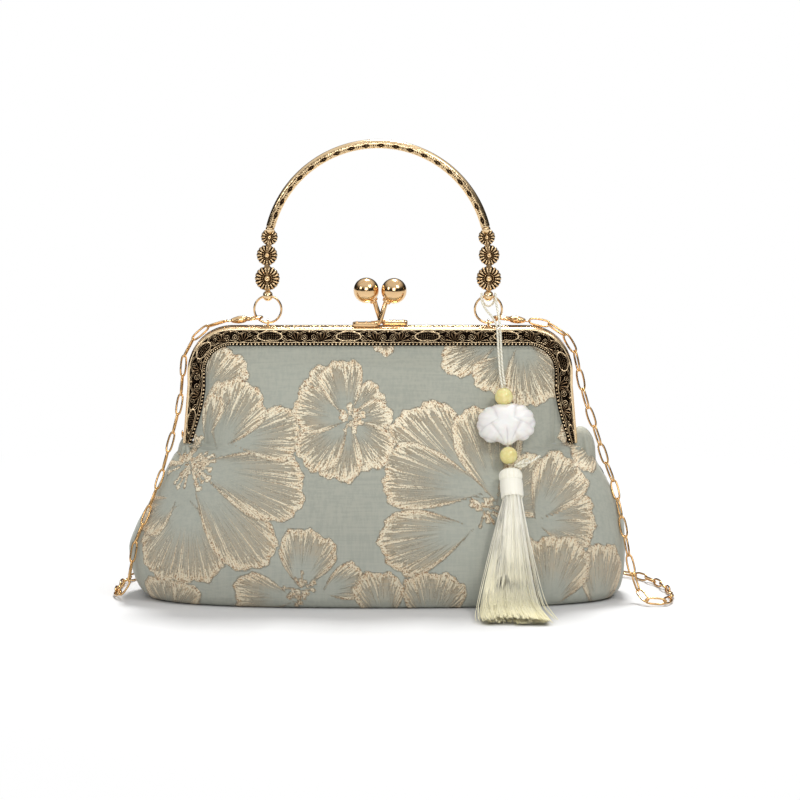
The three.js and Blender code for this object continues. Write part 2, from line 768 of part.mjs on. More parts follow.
// The charm's cord: a loop over the right ring's top wire, with a slack bight behind the eye of
// the handle, that runs down in front and through the beads into the tassel's head.
const charmCordRoute = [
  [61, -15, 106.5], [60.2, -12.8, 111], [59.7, -10.6, 117], [59.3, -9.2, 123], [59, -8.5, 129],
  [58.7, -8.1, 134.6], [58.2, -5.8, 138.6], [57.6, -2.4, 141.6], [57, 0.2, 145], [56.7, 0.9, 147.6],
  [56.6, 3, 149.4], [56.4, 5, 147.6], [55.6, 5.2, 144.4], [53.2, 5.2, 142.8], [50.8, 5.2, 144.4],
  [50, 5, 147.6], [49.8, 3, 149.4], [49.8, 0.9, 147.6], [50.2, 0.2, 145], [52.2, -2.4, 141.6],
  [55, -5.8, 138.6], [57, -8.1, 134.6], [57.6, -8.5, 129], [57.9, -9.2, 123], [58.3, -10.6, 117],
  [58.8, -12.8, 111], [60.3, -16.9, 102.6], [61.25, -21.35, 91], [62.2, -25.8, 79.4], [63, -29.7, 69.2],
].map((place) => point(...place));

add('charm_cord', tube(charmCordRoute, charmCordRadius, 8, charmCordSteps), silkCream);

// The line on which the beads and the lotus are threaded. Its ends lie to the right of the right
// ring by shares of the ring's radius, in front by shares of the bag's half-depth and as high as
// shares of the cloth's height.
const threadTable = [
  { across: 1.053, front: 0.3747, rise: 0.7997 },
  { across: 1.489, front: 0.6943, rise: 0.5211 },
];
const [threadTop, threadEnd] = threadTable.map((row) => point(
  ringPlaces.right + ringRadius * row.across, -baseHalfDepth * row.front, clothHeight * row.rise));
const threadDirection = new THREE.Vector3().subVectors(threadEnd, threadTop).normalize();
const threadLength = threadTop.distanceTo(threadEnd);
const alongThread = (distance) => threadTop.clone().addScaledVector(threadDirection, distance);
const threadHoleProud = 10;
const beadTopShare = 0.798;
const threadHole = cylinderAlong(
  alongThread(-threadHoleProud), alongThread(threadLength + threadHoleProud), charmHoleRadius, 8);
const beadTopAt = beadTopRadius * beadTopShare;
const lotusTopAt = beadTopAt + beadTopRadius + gap;
const lotusAt = lotusTopAt + lotusHalfHeight * 0.78;
const beadBottomAt = lotusAt + lotusHalfHeight + gap + beadBottomRadius * 0.93;

function bead(radius, distance) {
  const geometry = new THREE.SphereGeometry(radius, 10, 7);
  geometry.rotateX(Math.PI / 2);
  geometry.translate(...alongThread(distance).toArray());
  return cut(geometry, [threadHole]);
}

// The lotus is a plump flower wider than it is tall, with its rim parted into petals and a
// short foot below. Rows run from the top down, as shares of its half-height and half-width.
const lotusTable = [
  { rise: 0.78, out: 0.3, scallop: 0 },
  { rise: 0.7, out: 0.62, scallop: 0.04 },
  { rise: 0.4, out: 0.88, scallop: 0.08 },
  { rise: -0.05, out: 1, scallop: 0.1 },
  { rise: -0.5, out: 0.82, scallop: 0.14 },
  { rise: -0.74, out: 0.5, scallop: 0.14 },
  { rise: -0.72, out: 0.24, scallop: 0 },
  { rise: -1, out: 0.19, scallop: 0 },
];

function lotus() {
  const sides = lotusPetals * 2;
  const rings = lotusTable.map((row) => {
    const ringPoints = [];
    for (let i = 0; i < sides; i += 1) {
      const angle = (2 * Math.PI * (i + 0.5)) / sides;
      const parted = i % 2 === 0 ? 1 : 1 - row.scallop;
      ringPoints.push(point(
        lotusHalfWidth * row.out * parted * Math.cos(angle),
        Math.max(lotusHalfDepth * row.out, charmHoleRadius + lotusWall) * parted * Math.sin(angle),
        lotusHalfHeight * row.rise,
      ));
    }
    return ringPoints;
  });
  const geometry = skin(rings);
  geometry.applyQuaternion(new THREE.Quaternion().setFromUnitVectors(
    point(0, 0, -1), threadDirection));
  geometry.translate(...alongThread(lotusAt).toArray());
  return cut(geometry, [threadHole]);
}

add('charm_bead_top', bead(beadTopRadius, beadTopAt), jadeYellow);
add('charm_lotus', lotus(), whiteResin);
add('charm_bead_bottom', bead(beadBottomRadius, beadBottomAt), jadeYellow);

// The tassel's head hangs from the thread's end, a little in front of it.
const tasselHeadStep = { across: 0.017, front: 0.209, drop: 0.087 };
const tasselHeadTop = threadEnd.clone().add(
  point(tasselHeadStep.across, -tasselHeadStep.front, -tasselHeadStep.drop)
    .multiplyScalar(tasselHeadRadius));
const tasselHeadEnd = tasselHeadTop.clone().add(
  point(1.1, -6.6, -12.9).normalize().multiplyScalar(tasselHeadLength));

// The tail of the knot that holds the beads: a small flat loop beside the lower bead. Its points
// are steps from the top of the tassel's head, as shares of the head's radius.
const bowTable = [
  { across: 0.557, back: -0.209, up: 0.261 },
  { across: 0.939, back: -0.261, up: 0.33 },
  { across: 1.426, back: -0.157, up: 0.504 },
  { across: 1.983, back: 0.035, up: 0.748 },
  { across: 2.504, back: 0.261, up: 1.043 },
];
const bowRoute = bowTable.map((row) => point(row.across, row.back, row.up)
  .multiplyScalar(tasselHeadRadius).add(tasselHeadTop));
add('charm_bow', tube(bowRoute, bowRadius, 6, 6), silkCream);

// The tassel: a wound head with a hollow for the cord's knot and a skirt in locks. Each lock runs
// down the bag's front, bends on the floor and lies forwards. Rows follow the skirt's middle line:
// its distance to the front as a share of the bag's half-depth, its height as a share of the
// height of the head's top, and as shares of the head's radius its step across, how far the locks
// spread and step out of the middle layer, and each lock's half-width.
const skirtTable = [
  { across: 0.174, front: 0.8667, rise: 0.819, spread: 0.557, layer: 0.417, half: 0.365 },
  { across: 0.07, front: 0.9655, rise: 0.6825, spread: 0.87, layer: 0.4, half: 0.4 },
  { across: -0.035, front: 1.0575, rise: 0.4154, spread: 1.322, layer: 0.33, half: 0.417 },
  { across: -0.104, front: 1.1356, rise: 0.1632, spread: 1.739, layer: 0.278, half: 0.417 },
  { across: -0.035, front: 1.3103, rise: 0.0564, spread: 1.983, layer: 0.191, half: 0.417 },
  { across: 0.139, front: 1.5862, rise: 0.0445, spread: 2.226, layer: 0.157, half: 0.4 },
  { across: 0.417, front: 1.9678, rise: 0.0326, spread: 2.4, layer: 0.087, half: 0.278 },
];
const skirtRows = skirtTable.map((row) => ({
  across: tasselHeadTop.x + tasselHeadRadius * row.across,
  front: baseHalfDepth * row.front,
  height: tasselHeadTop.z * row.rise,
  spread: tasselHeadRadius * row.spread,
  layer: tasselHeadRadius * row.layer,
  half: tasselHeadRadius * row.half,
}));

// How much less the outer locks step out of the skirt's middle layer, how wide and how thick a
// lock is as shares of its half-width, and how low it may lie.
const lockRounding = 0.75;
const lockWide = 1.15;
const lockThick = 0.8;
const lockFloor = 0.2;

function tasselLock(index) {
  const share = (2 * index) / (tasselLockCount - 1) - 1;
  const layer = (index % 2 === 0 ? 1 : -1) * Math.sqrt(1 - lockRounding * share ** 2);
  const rings = skirtRows.map((row, r) => {
    const before = skirtRows[Math.max(r - 1, 0)];
    const after = skirtRows[Math.min(r + 1, skirtRows.length - 1)];
    const slope = new THREE.Vector2(
      before.front - after.front, before.height - after.height).normalize();
    const centre = point(row.across + share * row.spread, -row.front, row.height)
      .add(point(0, -slope.y * row.layer * layer, -slope.x * row.layer * layer));
    const ringPoints = [];
    for (let i = 0; i < tasselLockSides; i += 1) {
      const angle = (2 * Math.PI * (i + 0.5)) / tasselLockSides;
      const wide = row.half * lockWide * Math.cos(angle);
      const thick = row.half * lockThick * Math.sin(angle);
      const place = centre.clone().add(point(wide, -slope.y * thick, -slope.x * thick));
      place.z = Math.max(place.z, lockFloor);
      ringPoints.push(place);
    }
    return ringPoints;
  });
  return skin(rings);
}

// The profile of the tassel's head: how far out and how far down, as shares.
const headProfile = [[0, 0], [0.62, 0.02], [0.92, 0.12], [1, 0.35], [0.95, 0.42], [1, 1], [0, 1]];

function tassel() {
  const head = new THREE.LatheGeometry(headProfile.map(([out, down]) =>
    new THREE.Vector2(out * tasselHeadRadius, down * tasselHeadLength)), 12);
  head.applyQuaternion(new THREE.Quaternion().setFromUnitVectors(
    point(0, 1, 0), new THREE.Vector3().subVectors(tasselHeadEnd, tasselHeadTop).normalize()));
  head.translate(...tasselHeadTop.toArray());
  const locks = [];
  for (let i = 0; i < tasselLockCount; i += 1) locks.push(tasselLock(i));
  return joined([head, ...locks]);
}

add('tassel', tassel(), silkCream);

export default clutch;
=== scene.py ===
"""Looks of a brocade evening clutch: cloth, embossed frame, handle, chain and tassel charm.

The shapes' lengths are millimetres in the model's frame, and make_piece turns them into metres. The
camera, the lights, the floor and the materials' distances are in metres.
"""
import math

import bmesh
import bpy
import numpy as np
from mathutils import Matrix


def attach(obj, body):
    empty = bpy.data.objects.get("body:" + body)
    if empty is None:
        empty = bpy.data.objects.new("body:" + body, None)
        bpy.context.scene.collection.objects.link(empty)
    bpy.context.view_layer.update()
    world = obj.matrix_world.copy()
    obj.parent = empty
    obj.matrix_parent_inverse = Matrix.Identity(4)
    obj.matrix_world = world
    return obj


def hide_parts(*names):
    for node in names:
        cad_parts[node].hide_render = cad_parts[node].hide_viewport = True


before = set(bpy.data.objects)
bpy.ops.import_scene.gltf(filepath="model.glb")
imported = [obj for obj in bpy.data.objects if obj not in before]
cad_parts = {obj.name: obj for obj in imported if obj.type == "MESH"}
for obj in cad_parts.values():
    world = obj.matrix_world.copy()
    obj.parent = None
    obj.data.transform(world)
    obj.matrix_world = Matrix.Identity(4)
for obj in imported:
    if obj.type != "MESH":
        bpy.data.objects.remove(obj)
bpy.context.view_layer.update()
MM = 0.001
TAU = 2 * math.pi


# Materials

class Value:
    """A socket's number; sums, differences and products of it add Math nodes."""

    def __init__(self, nodes, socket):
        self.nodes = nodes
        self.socket = socket

    def math(self, operation, first, second):
        """The result of a Math node on two numbers or values."""
        return self.nodes.node("ShaderNodeMath", {"operation": operation}, {0: first, 1: second})

    def __add__(self, other):
        return self.math("ADD", self, other)

    def __sub__(self, other):
        return self.math("SUBTRACT", self, other)

    def __rsub__(self, other):
        return self.math("SUBTRACT", other, self)

    def __mul__(self, other):
        return self.math("MULTIPLY", self, other)

    def wave(self):
        """The value's sine, brought between 0 and 1."""
        return self.math("SINE", self, 0) * 0.5 + 0.5

    def rise(self, low, high, start=0, end=1):
        """Goes smoothly from start to end while the value goes from low to high."""
        return self.nodes.node(
            "ShaderNodeMapRange", {"interpolation_type": "SMOOTHSTEP"},
            {"Value": self, "From Min": low, "From Max": high, "To Min": start, "To Max": end})


class Nodes:
    """The node tree of a material or of the world; feed links a value into its main shader."""

    def __init__(self, owner, shader):
        owner.use_nodes = True
        self.tree = owner.node_tree
        self.shader = self.tree.nodes[shader]

    def node(self, kind, settings=None, sockets=None, output=0):
        """A new node of a kind, with its settings made first and then its sockets."""
        made = self.tree.nodes.new(kind)
        for key, value in (settings or {}).items():
            setattr(made, key, value)
        for key, value in (sockets or {}).items():
            if isinstance(value, Value):
                self.tree.links.new(value.socket, made.inputs[key])
            else:
                made.inputs[key].default_value = value
        return Value(self, made.outputs[output])

    def part_of(self, vector, axis):
        """A vector's coordinate: 0 for x, 1 for y and 2 for z."""
        return self.node("ShaderNodeSeparateXYZ", sockets={0: vector}, output=axis)

    def feed(self, socket, value):
        self.tree.links.new(value.socket, self.shader.inputs[socket])


class Finish(Nodes):
    """A material with one Principled shader and the nodes that feed it."""

    def __init__(self, name, **constants):
        self.name = name
        self.material = bpy.data.materials.new(name)
        super().__init__(self.material, "Principled BSDF")
        for socket, value in constants.items():
            self.shader.inputs[socket.replace("_", " ")].default_value = value

    def place(self):
        """The place on the piece, in metres."""
        return self.node("ShaderNodeTexCoord", output="Object")

    def along(self):
        """The piece's own map: distance along it and distance round it, in millimetres."""
        return self.node("ShaderNodeTexCoord", output="UV")

    def stretched(self, vector, scale):
        """A vector with each coordinate times its scale."""
        return self.node("ShaderNodeMapping", sockets={"Vector": vector, "Scale": scale})

    def grown(self, name):
        """A value that the piece's mesh carries at its points."""
        return self.node("ShaderNodeAttribute", {"attribute_name": name}, output="Fac")

    def joined(self, x, y, z):
        return self.node("ShaderNodeCombineXYZ", sockets={0: x, 1: y, 2: z})

    def noise(self, vector, scale, detail=2.0, rough=0.5):
        return self.node("ShaderNodeTexNoise", sockets={
            "Vector": vector, "Scale": scale, "Detail": detail, "Roughness": rough})

    def mixed(self, share, first, second):
        """A colour between two colours, which are screen colours or made by other nodes."""
        pick = [linear(c) if isinstance(c, tuple) else c for c in (first, second)]
        return self.node(
            "ShaderNodeMix", {"data_type": "RGBA", "clamp_factor": True},
            {0: share, 6: pick[0], 7: pick[1]}, output=2)

    def bump(self, height, distance, strength):
        made = self.node("ShaderNodeBump", sockets={
            "Height": height, "Distance": distance, "Strength": strength})
        self.feed("Normal", made)


def linear(colour):
    """A screen colour, 0-255, as linear light with alpha."""
    share = np.asarray(colour, float) / 255
    light = np.where(share > 0.04045, ((share + 0.055) / 1.055) ** 2.4, share / 12.92)
    return (*light, 1.0)


# Screen colours, each channel from 0 to 255
SAGE_TOP = (171, 172, 158)
# Painted shade: the sage ground near the base, darker where less light falls
SAGE_LOW_PAINTED_SHADE = (167, 168, 156)
SAGE_SLUB = (124, 132, 126)
SAGE_PALE = (184, 190, 180)
THREAD = (255, 230, 190)
# Painted highlight on the ridges of the gold threads
THREAD_PAINTED_HIGHLIGHT = (255, 248, 222)
# Painted shade in the gaps between the gold threads and along the petal edges
THREAD_PAINTED_SHADE = (136, 92, 54)
THREAD_NET = (174, 147, 110)
# Painted shade for the threads near the base
THREAD_FOOT_PAINTED_SHADE = (110, 84, 56)
SATIN = (150, 154, 146)
SATIN_LIGHT = (186, 188, 180)
RECESS = (15, 9, 6)
RAISED = (130, 104, 76)
RUBBED = (252, 226, 184)
GOLD = (240, 210, 166)
GOLD_DEEP = (212, 172, 122)
CREAM = (255, 252, 240)
CREAM_TIP = (253, 243, 186)
# The darker silk tone; on the tassel head it also gives painted shade
CREAM_TONE_AND_PAINTED_SHADE = (242, 236, 206)
CREAM_FIBRE = (252, 250, 236)
# Painted shade for the grooves between the cord's strands
CORD_GROOVE_PAINTED_SHADE = (212, 205, 176)
JADE = (242, 232, 168)
JADE_DEEP = (230, 216, 142)
JADE_FLECK = (244, 243, 196)
LOTUS = (240, 238, 234)
# Painted shade for the lotus's grooves
LOTUS_GROOVE_PAINTED_SHADE = (222, 217, 215)
LOTUS_HAZE = (250, 244, 246)


def brocade_finish():
    """Sage sateen with blossoms of gold thread. petal_vein runs round a petal in millimetres, petal_rim is
    the distance to its edge and petal_cover how thickly the threads lie. The colour holds painted shade
    towards the base on the ground and the threads, and painted highlights and painted shade on the
    threads."""
    cloth = Finish("brocade", Roughness=0.62, Sheen_Weight=0.15, Sheen_Roughness=0.4)
    place = cloth.place()
    rim = cloth.grown("petal_rim")
    vein = cloth.grown("petal_vein")
    cover = cloth.grown("petal_cover")
    fray = cloth.noise(place, 1500, 2, 0.6)
    drift = cloth.noise(place, 160)
    long_way = cloth.joined(vein * 0.8 + drift * 1.2, rim * 0.07, 0)
    fine_way = cloth.joined(vein * 2.6 + drift * 2.0, rim * 0.25, 0.5)
    loop_way = cloth.joined(vein * 2.2, rim * 1.1, 0.9)
    long_thread = cloth.noise(long_way, 1.0, 2, 0.55)
    fine_thread = cloth.noise(fine_way, 1.0, 2, 0.6)
    loops = cloth.noise(loop_way, 1.0, 2, 0.6)
    grown = cover.rise(0.01, 0.2)
    inside = (rim + (fray - 0.5) * 1.6 + (loops - 0.5) * 1.2).rise(0.0, 0.4) * grown
    dense = rim.rise(0.5, 3.2, 1, 0) * inside
    threads = (long_thread - 0.5) * 3.0 + (fine_thread - 0.5) * 2.2 + (fray - 0.5) * 1.0
    laid = (cover * 1.3 + threads + (loops - 0.5) * dense * 1.4).rise(0.28, 0.64) * inside
    up = cloth.part_of(place, 2)
    slub = cloth.noise(cloth.stretched(place, (1, 1, 0.05)), 700, 2, 0.7)
    weft = cloth.noise(cloth.stretched(place, (0.04, 1, 1)), 1000, 2, 0.7)
    cloud = cloth.noise(place, 16)
    # Painted shade: the ground goes from the lower sage at the base to SAGE_TOP higher up
    ground = cloth.mixed(up.rise(0.01, 0.12), SAGE_LOW_PAINTED_SHADE, SAGE_TOP)
    ground = cloth.mixed((slub + weft).rise(0.8, 1.25) * 0.3, ground, SAGE_SLUB)
    ground = cloth.mixed(cloud.rise(0.35, 0.7) * 0.2, ground, SAGE_PALE)
    net = inside * (cover * 1.3 + 0.16) * (weft + slub).rise(0.7, 1.2, 1.0, 0.55)
    ground = cloth.mixed(net, ground, THREAD_NET)
    # Painted shade: the threads darken in noise gaps and more near the petal edges
    shade = (loops * 0.7 + fray * 0.7 + (1 - dense) * 0.12).rise(0.58, 0.84)
    gold = cloth.mixed(shade, THREAD_PAINTED_SHADE, THREAD)
    # Painted highlight: noise spots on the threads turn to the highlight colour
    gold = cloth.mixed((fine_thread + fray).rise(0.88, 1.1) * 0.92, gold, THREAD_PAINTED_HIGHLIGHT)
    # Painted shade: the threads darken towards the base of the bag
    gold = cloth.mixed(up.rise(0.0, 0.1, 0.34, 0.04), gold, THREAD_FOOT_PAINTED_SHADE)
    cloth.feed("Base Color", cloth.mixed(laid * 0.92, ground, gold))
    cloth.feed("Roughness", laid * -0.16 + 0.64)
    cloth.feed("Metallic", laid * 0.12)
    relief = laid * (loops * 0.5 + fine_thread * 0.4 + 0.5) + (slub + weft) * 0.06
    cloth.bump(relief, 0.0005, 0.85)
    return cloth


def lining_finish():
    """Plain ribbed satin for the inside."""
    satin = Finish("lining", Roughness=0.5, Sheen_Weight=0.3)
    place = satin.place()
    rib = satin.noise(satin.stretched(place, (1, 1, 0.08)), 700)
    satin.feed("Base Color", satin.mixed(rib, SATIN, SATIN_LIGHT))
    satin.bump(rib, 0.0002, 0.4)
    return satin


def embossed_finish(name, dark, light, rub):
    """Antique gold: relief_height goes from 0 in the dark hollows to 1 on the rubbed high parts, and
    polish_share marks the smooth rims."""
    metal = Finish(name, Metallic=1.0)
    place = metal.place()
    height = metal.grown("relief_height")
    polish = metal.grown("polish_share")
    stain = metal.noise(place, 700, 3, 0.6)
    broad = metal.noise(place, 60)
    worn = height + (stain - 0.5) * 0.4 + (broad - 0.5) * 0.25
    aged = metal.mixed(worn.rise(0.34, 0.8), dark, light)
    aged = metal.mixed(worn.rise(0.72, 1.0), aged, rub)
    shine = metal.mixed(stain.rise(0.4, 0.75) * 0.35, GOLD, GOLD_DEEP)
    metal.feed("Base Color", metal.mixed(polish, aged, shine))
    metal.feed("Roughness", worn.rise(0.2, 0.9, 0.5, 0.26) * (1 - polish) + polish * 0.2)
    metal.bump(stain * (1 - polish) * 0.5 + height * 0.5, 0.00025, 0.35)
    return metal


def polished_finish(name, colour, deep, rough):
    """Plated metal with faint rubbing marks and slightly deeper colour in broad clouds."""
    metal = Finish(name, Metallic=1.0)
    place = metal.place()
    cloud = metal.noise(place, 90)
    rubbing = metal.noise(metal.stretched(place, (1, 1, 0.2)), 2200, 3, 0.7)
    metal.feed("Base Color", metal.mixed(cloud.rise(0.35, 0.75) * 0.55, colour, deep))
    metal.feed("Roughness", rubbing.rise(0.3, 0.8, rough, rough + 0.08))
    metal.bump(rubbing, 0.00003, 0.3)
    return metal


def cord_finish():
    """Silk cord: two strands wind round it, with fine fibres along the strands; painted shade darkens the
    grooves between the strands.
    """
    silk = Finish("silk_cord", Sheen_Weight=0.4, Roughness=0.55)
    way = silk.along()
    ahead, round_it = silk.part_of(way, 0), silk.part_of(way, 1)
    strand = (ahead * 3.4 + round_it * 3.6).wave()
    fibre = silk.noise(silk.place(), 4000)
    # Painted shade: the colour darkens where the strand wave dips into a groove
    silk.feed("Base Color", silk.mixed(strand * 0.7 + fibre * 0.3, CORD_GROOVE_PAINTED_SHADE, CREAM))
    silk.bump(strand + fibre * 0.2, 0.00018, 0.7)
    return silk


def jade_finish():
    """Polished pale stone with cloudy veins."""
    stone = Finish("jade_bead", Roughness=0.2, Subsurface_Weight=0.2, Subsurface_Scale=0.0015,
                   Coat_Weight=0.4)
    place = stone.place()
    cloud = stone.noise(place, 260, 3, 0.6)
    fleck = stone.noise(place, 1400, 2, 0.6)
    clouded = stone.mixed(cloud.rise(0.35, 0.7), JADE_DEEP, JADE)
    stone.feed("Base Color", stone.mixed(fleck.rise(0.6, 0.75) * 0.4, clouded, JADE_FLECK))
    stone.feed("Roughness", fleck.rise(0.3, 0.8, 0.18, 0.3))
    stone.bump(fleck, 0.00005, 0.3)
    return stone


def lotus_finish():
    """Milky white, with painted shade in the grooves between petals."""
    resin = Finish("white_lotus", Roughness=0.38, Subsurface_Weight=0.12, Subsurface_Scale=0.0015,
                   Coat_Weight=0.15)
    groove = resin.grown("relief_height")
    haze = resin.noise(resin.place(), 300, 3)
    # Painted shade: low relief_height, in the grooves, takes the darker colour
    tone = resin.mixed(groove.rise(0.2, 0.8), LOTUS_GROOVE_PAINTED_SHADE, LOTUS)
    resin.feed("Base Color", resin.mixed(haze.rise(0.45, 0.8) * 0.2, tone, LOTUS_HAZE))
    resin.feed("Roughness", haze.rise(0.3, 0.8, 0.34, 0.46))
    resin.bump(haze, 0.0001, 0.2)
    return resin


def tassel_finish():
    """Silk threads: each has its own shade, and all are yellower towards their ends. On the head the
    darker colour also carries painted sheen and shade along the winding ridges and pleats.
    """
    silk = Finish("tassel_silk", Roughness=0.45, Sheen_Weight=0.6)
    share = silk.grown("strand_share")
    down = silk.grown("strand_down")
    fibre = silk.noise(silk.place(), 2600)
    tone = silk.mixed(down.rise(0.25, 1.0), CREAM, CREAM_TIP)
    tone = silk.mixed(share.rise(0.15, 0.9) * 0.35, tone, CREAM_TONE_AND_PAINTED_SHADE)
    silk.feed("Base Color", silk.mixed(fibre.rise(0.45, 0.7) * 0.2, tone, CREAM_FIBRE))
    silk.bump(fibre, 0.00006, 0.4)
    return silk


# Surfaces

WELD = 2e-7


def quad_corners(rows, columns, start):
    """The four corner numbers of every cell of a grid whose first point has the number start."""
    r, c = np.meshgrid(np.arange(rows - 1), np.arange(columns - 1), indexing="ij")
    first = start + r * columns + c
    return np.stack([first, first + 1, first + columns + 1, first + columns], -1).reshape(-1, 4)


def put_in_scene(name, data):
    """A new object for a mesh, a camera or a light."""
    made = bpy.data.objects.new(name, data)
    bpy.context.scene.collection.objects.link(made)
    return made


def make_piece(name, patches, finish, nodes, body="bag", closed=True):
    """One mesh from patches: each is (points, values), where points is a grid of places in millimetres and
    values are numbers at those points; u and v make the map."""
    points, faces, grids = [], [], []
    start = 0
    for place, values in patches:
        rows, columns = place.shape[:2]
        faces.append(quad_corners(rows, columns, start))
        points.append(place.reshape(-1, 3))
        grids.append({
            key: np.broadcast_to(value, (rows, columns)).ravel() for key, value in values.items()})
        start += rows * columns
    points = np.concatenate(points) * MM
    faces = np.concatenate(faces)
    values = {key: np.concatenate([grid[key] for grid in grids]) for key in sorted(grids[0])}
    mesh = bpy.data.meshes.new(name)
    mesh.vertices.add(len(points))
    mesh.vertices.foreach_set("co", points.astype(np.float32).ravel())
    mesh.loops.add(faces.size)
    mesh.loops.foreach_set("vertex_index", faces.astype(np.int32).ravel())
    mesh.polygons.add(len(faces))
    mesh.polygons.foreach_set("loop_start", np.arange(0, faces.size, 4, dtype=np.int32))
    mesh.polygons.foreach_set("use_smooth", np.ones(len(faces), bool))
    mesh.update(calc_edges=True)
    if "u" in values:
        chart = np.stack([values.pop("u"), values.pop("v")], -1)[faces.ravel()]
        mesh.uv_layers.new(name="way").data.foreach_set("uv", chart.astype(np.float32).ravel())
    for key, value in values.items():
        carried = mesh.attributes.new(key, "FLOAT", "POINT")
        carried.data.foreach_set("value", value.astype(np.float32))
    work = bmesh.new()
    work.from_mesh(mesh)
    bmesh.ops.remove_doubles(work, verts=work.verts, dist=WELD)
    if closed:
        bmesh.ops.recalc_face_normals(work, faces=work.faces)
    work.to_mesh(mesh)
    work.free()
    mesh.materials.append(finish.material)
    made = put_in_scene(name, mesh)
    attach(made, body)
    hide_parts(*nodes)
    return made


def unit(vectors):
    """The vectors, each divided by its length."""
    return vectors / np.maximum(np.linalg.norm(vectors, axis=-1, keepdims=True), 1e-9)


def full_turn(steps):
    """Angles at equal steps from 0 once round."""
    return np.linspace(0, TAU, steps + 1)


def circle(angle, side, up):
    """The directions at the angles, from side towards up."""
    return np.cos(angle)[..., None] * side + np.sin(angle)[..., None] * up


def distances(line):
    """How far each point of a line is from its start, measured along it."""
    return np.concatenate([[0], np.cumsum(np.linalg.norm(np.diff(line, axis=0), axis=1))])


def read_off(table, places, marks):
    """The table's columns at the marks, where places says at which mark each row stands."""
    return np.stack([np.interp(marks, places, column) for column in table.T], -1)


def repeat_ends(rows):
    """The rows with the first and the last one twice."""
    return np.concatenate([rows[:1], rows, rows[-1:]])


def cubic(t, start, end, leave, reach):
    """The cubic from start to end as t goes from 0 to 1, with the slopes leave and reach there."""
    return (start * (2 * t**3 - 3 * t**2 + 1) + end * (3 * t**2 - 2 * t**3)
            + leave * (t**3 - 2 * t**2 + t) + reach * (t**3 - t**2))


def smooth_line(points, pitch):
    """Places a pitch apart on the curve through the points: on each stretch a cubic whose knots are
    the square roots of the chords, then cut at equal distances."""
    p = np.asarray(points, float)
    p = np.vstack([2 * p[0] - p[1], p, 2 * p[-1] - p[-2]])
    knot = np.sqrt(np.linalg.norm(np.diff(p, axis=0), axis=1))[:, None]
    before, here, after = knot[:-2], knot[1:-1], knot[2:]
    p0, p1, p2, p3 = p[:-3], p[1:-2], p[2:-1], p[3:]
    leave = ((p1 - p0) / before - (p2 - p0) / (before + here) + (p2 - p1) / here) * here
    reach = ((p2 - p1) / here - (p3 - p1) / (here + after) + (p3 - p2) / after) * here
    t = np.linspace(0, 1, 24)[None, :, None]
    dense = cubic(t, *(x[:, None] for x in (p1, p2, leave, reach))).reshape(-1, 3)
    return evenly(dense, pitch)


def evenly(line, pitch):
    """The same line cut at equal distances of about a pitch."""
    far = distances(line)
    steps = max(int(round(far[-1] / pitch)), 2)
    return read_off(line, far, np.linspace(0, far[-1], steps + 1))


def carried_frames(line, first=(0, 1, 0)):
    """Two directions square to the line at each of its points, carried along without twist."""
    ahead = unit(np.gradient(line, axis=0))
    side = np.empty_like(line)
    near = np.asarray(first, float)
    for i, way in enumerate(ahead):
        near = near - way * near.dot(way)
        near = near / max(np.linalg.norm(near), 1e-9)
        side[i] = near
    return side, np.cross(ahead, side)


def pipe(line, angle, radius, first=(0, 1, 0)):
    """A ring of points at each point of the line, at the angles and with a radius for each of them,
    and both ends drawn together to a point."""
    side, up = carried_frames(line, first)
    points = line[:, None] + circle(angle, side[:, None], up[:, None]) * radius[..., None]
    start, end = (np.broadcast_to(line[k], points[:1].shape) for k in (0, -1))
    return np.concatenate([start, points, end])


def tube(line, radius, sides=12):
    """A round pipe with its map, whose radius may vary along the line."""
    radius = np.broadcast_to(radius, len(line)).astype(float)
    angle = full_turn(sides)
    far = repeat_ends(distances(line))
    return pipe(line, angle, radius[:, None]), {"u": far[:, None], "v": angle * radius.mean()}


def turned(profile, origin, axis, sides, flat=1.0):
    """A surface of revolution: profile rows are (radius, distance along the axis), and flat scales
    the second of the two directions square to the axis."""
    profile = np.asarray(profile, float)
    axis = unit(axis)
    side = np.array([0, 1, 0.01])
    side = unit(side - axis * side.dot(axis))
    angle = full_turn(sides)
    ring = circle(angle, side, flat * np.cross(axis, side))
    out, along = profile[:, 0, None, None], profile[:, 1, None, None]
    points = origin + along * axis + out * ring
    return points, {"u": profile[:, 1:], "v": angle * profile[:, 0].max()}


def ball(centre, radius, sides):
    """A sphere as the turned half circle."""
    t = np.linspace(0, math.pi, sides // 2 + 1)
    return turned(np.stack([radius * np.sin(t), -radius * np.cos(t)], -1), centre, (0, 0, 1), sides)


def hoop(centre, radius, wire, axis, steps, sides):
    """A closed ring of round wire about an axis."""
    axis = unit(axis)
    helper = (0, 1, 0) if abs(axis[2]) > 0.9 else (0.31, 0.2, 0.93)
    side = unit(np.cross(axis, helper))
    turn = full_turn(steps)
    out = circle(turn, side, np.cross(axis, side))
    middle = centre + radius * out
    angle = full_turn(sides)
    points = middle[:, None] + wire * circle(angle, out[:, None], axis)
    return points, {"u": turn[:, None] * radius, "v": angle * wire}


def rounded_bar(low, high, power=5.0):
    """A block with soft edges: the unit ball's coordinates, each raised to 2 / power, and scaled to
    the block."""
    low, high = np.asarray(low, float), np.asarray(high, float)
    rise = np.linspace(-math.pi / 2, math.pi / 2, 17)[:, None]
    turn = full_turn(32)
    globe = np.stack([
        np.cos(rise) * np.cos(turn), np.cos(rise) * np.sin(turn),
        np.broadcast_to(np.sin(rise), (17, 33))], -1)
    shape = squared_off(globe, 2 / power)
    return (low + high) / 2 + shape * (high - low) / 2, {"u": turn, "v": rise}


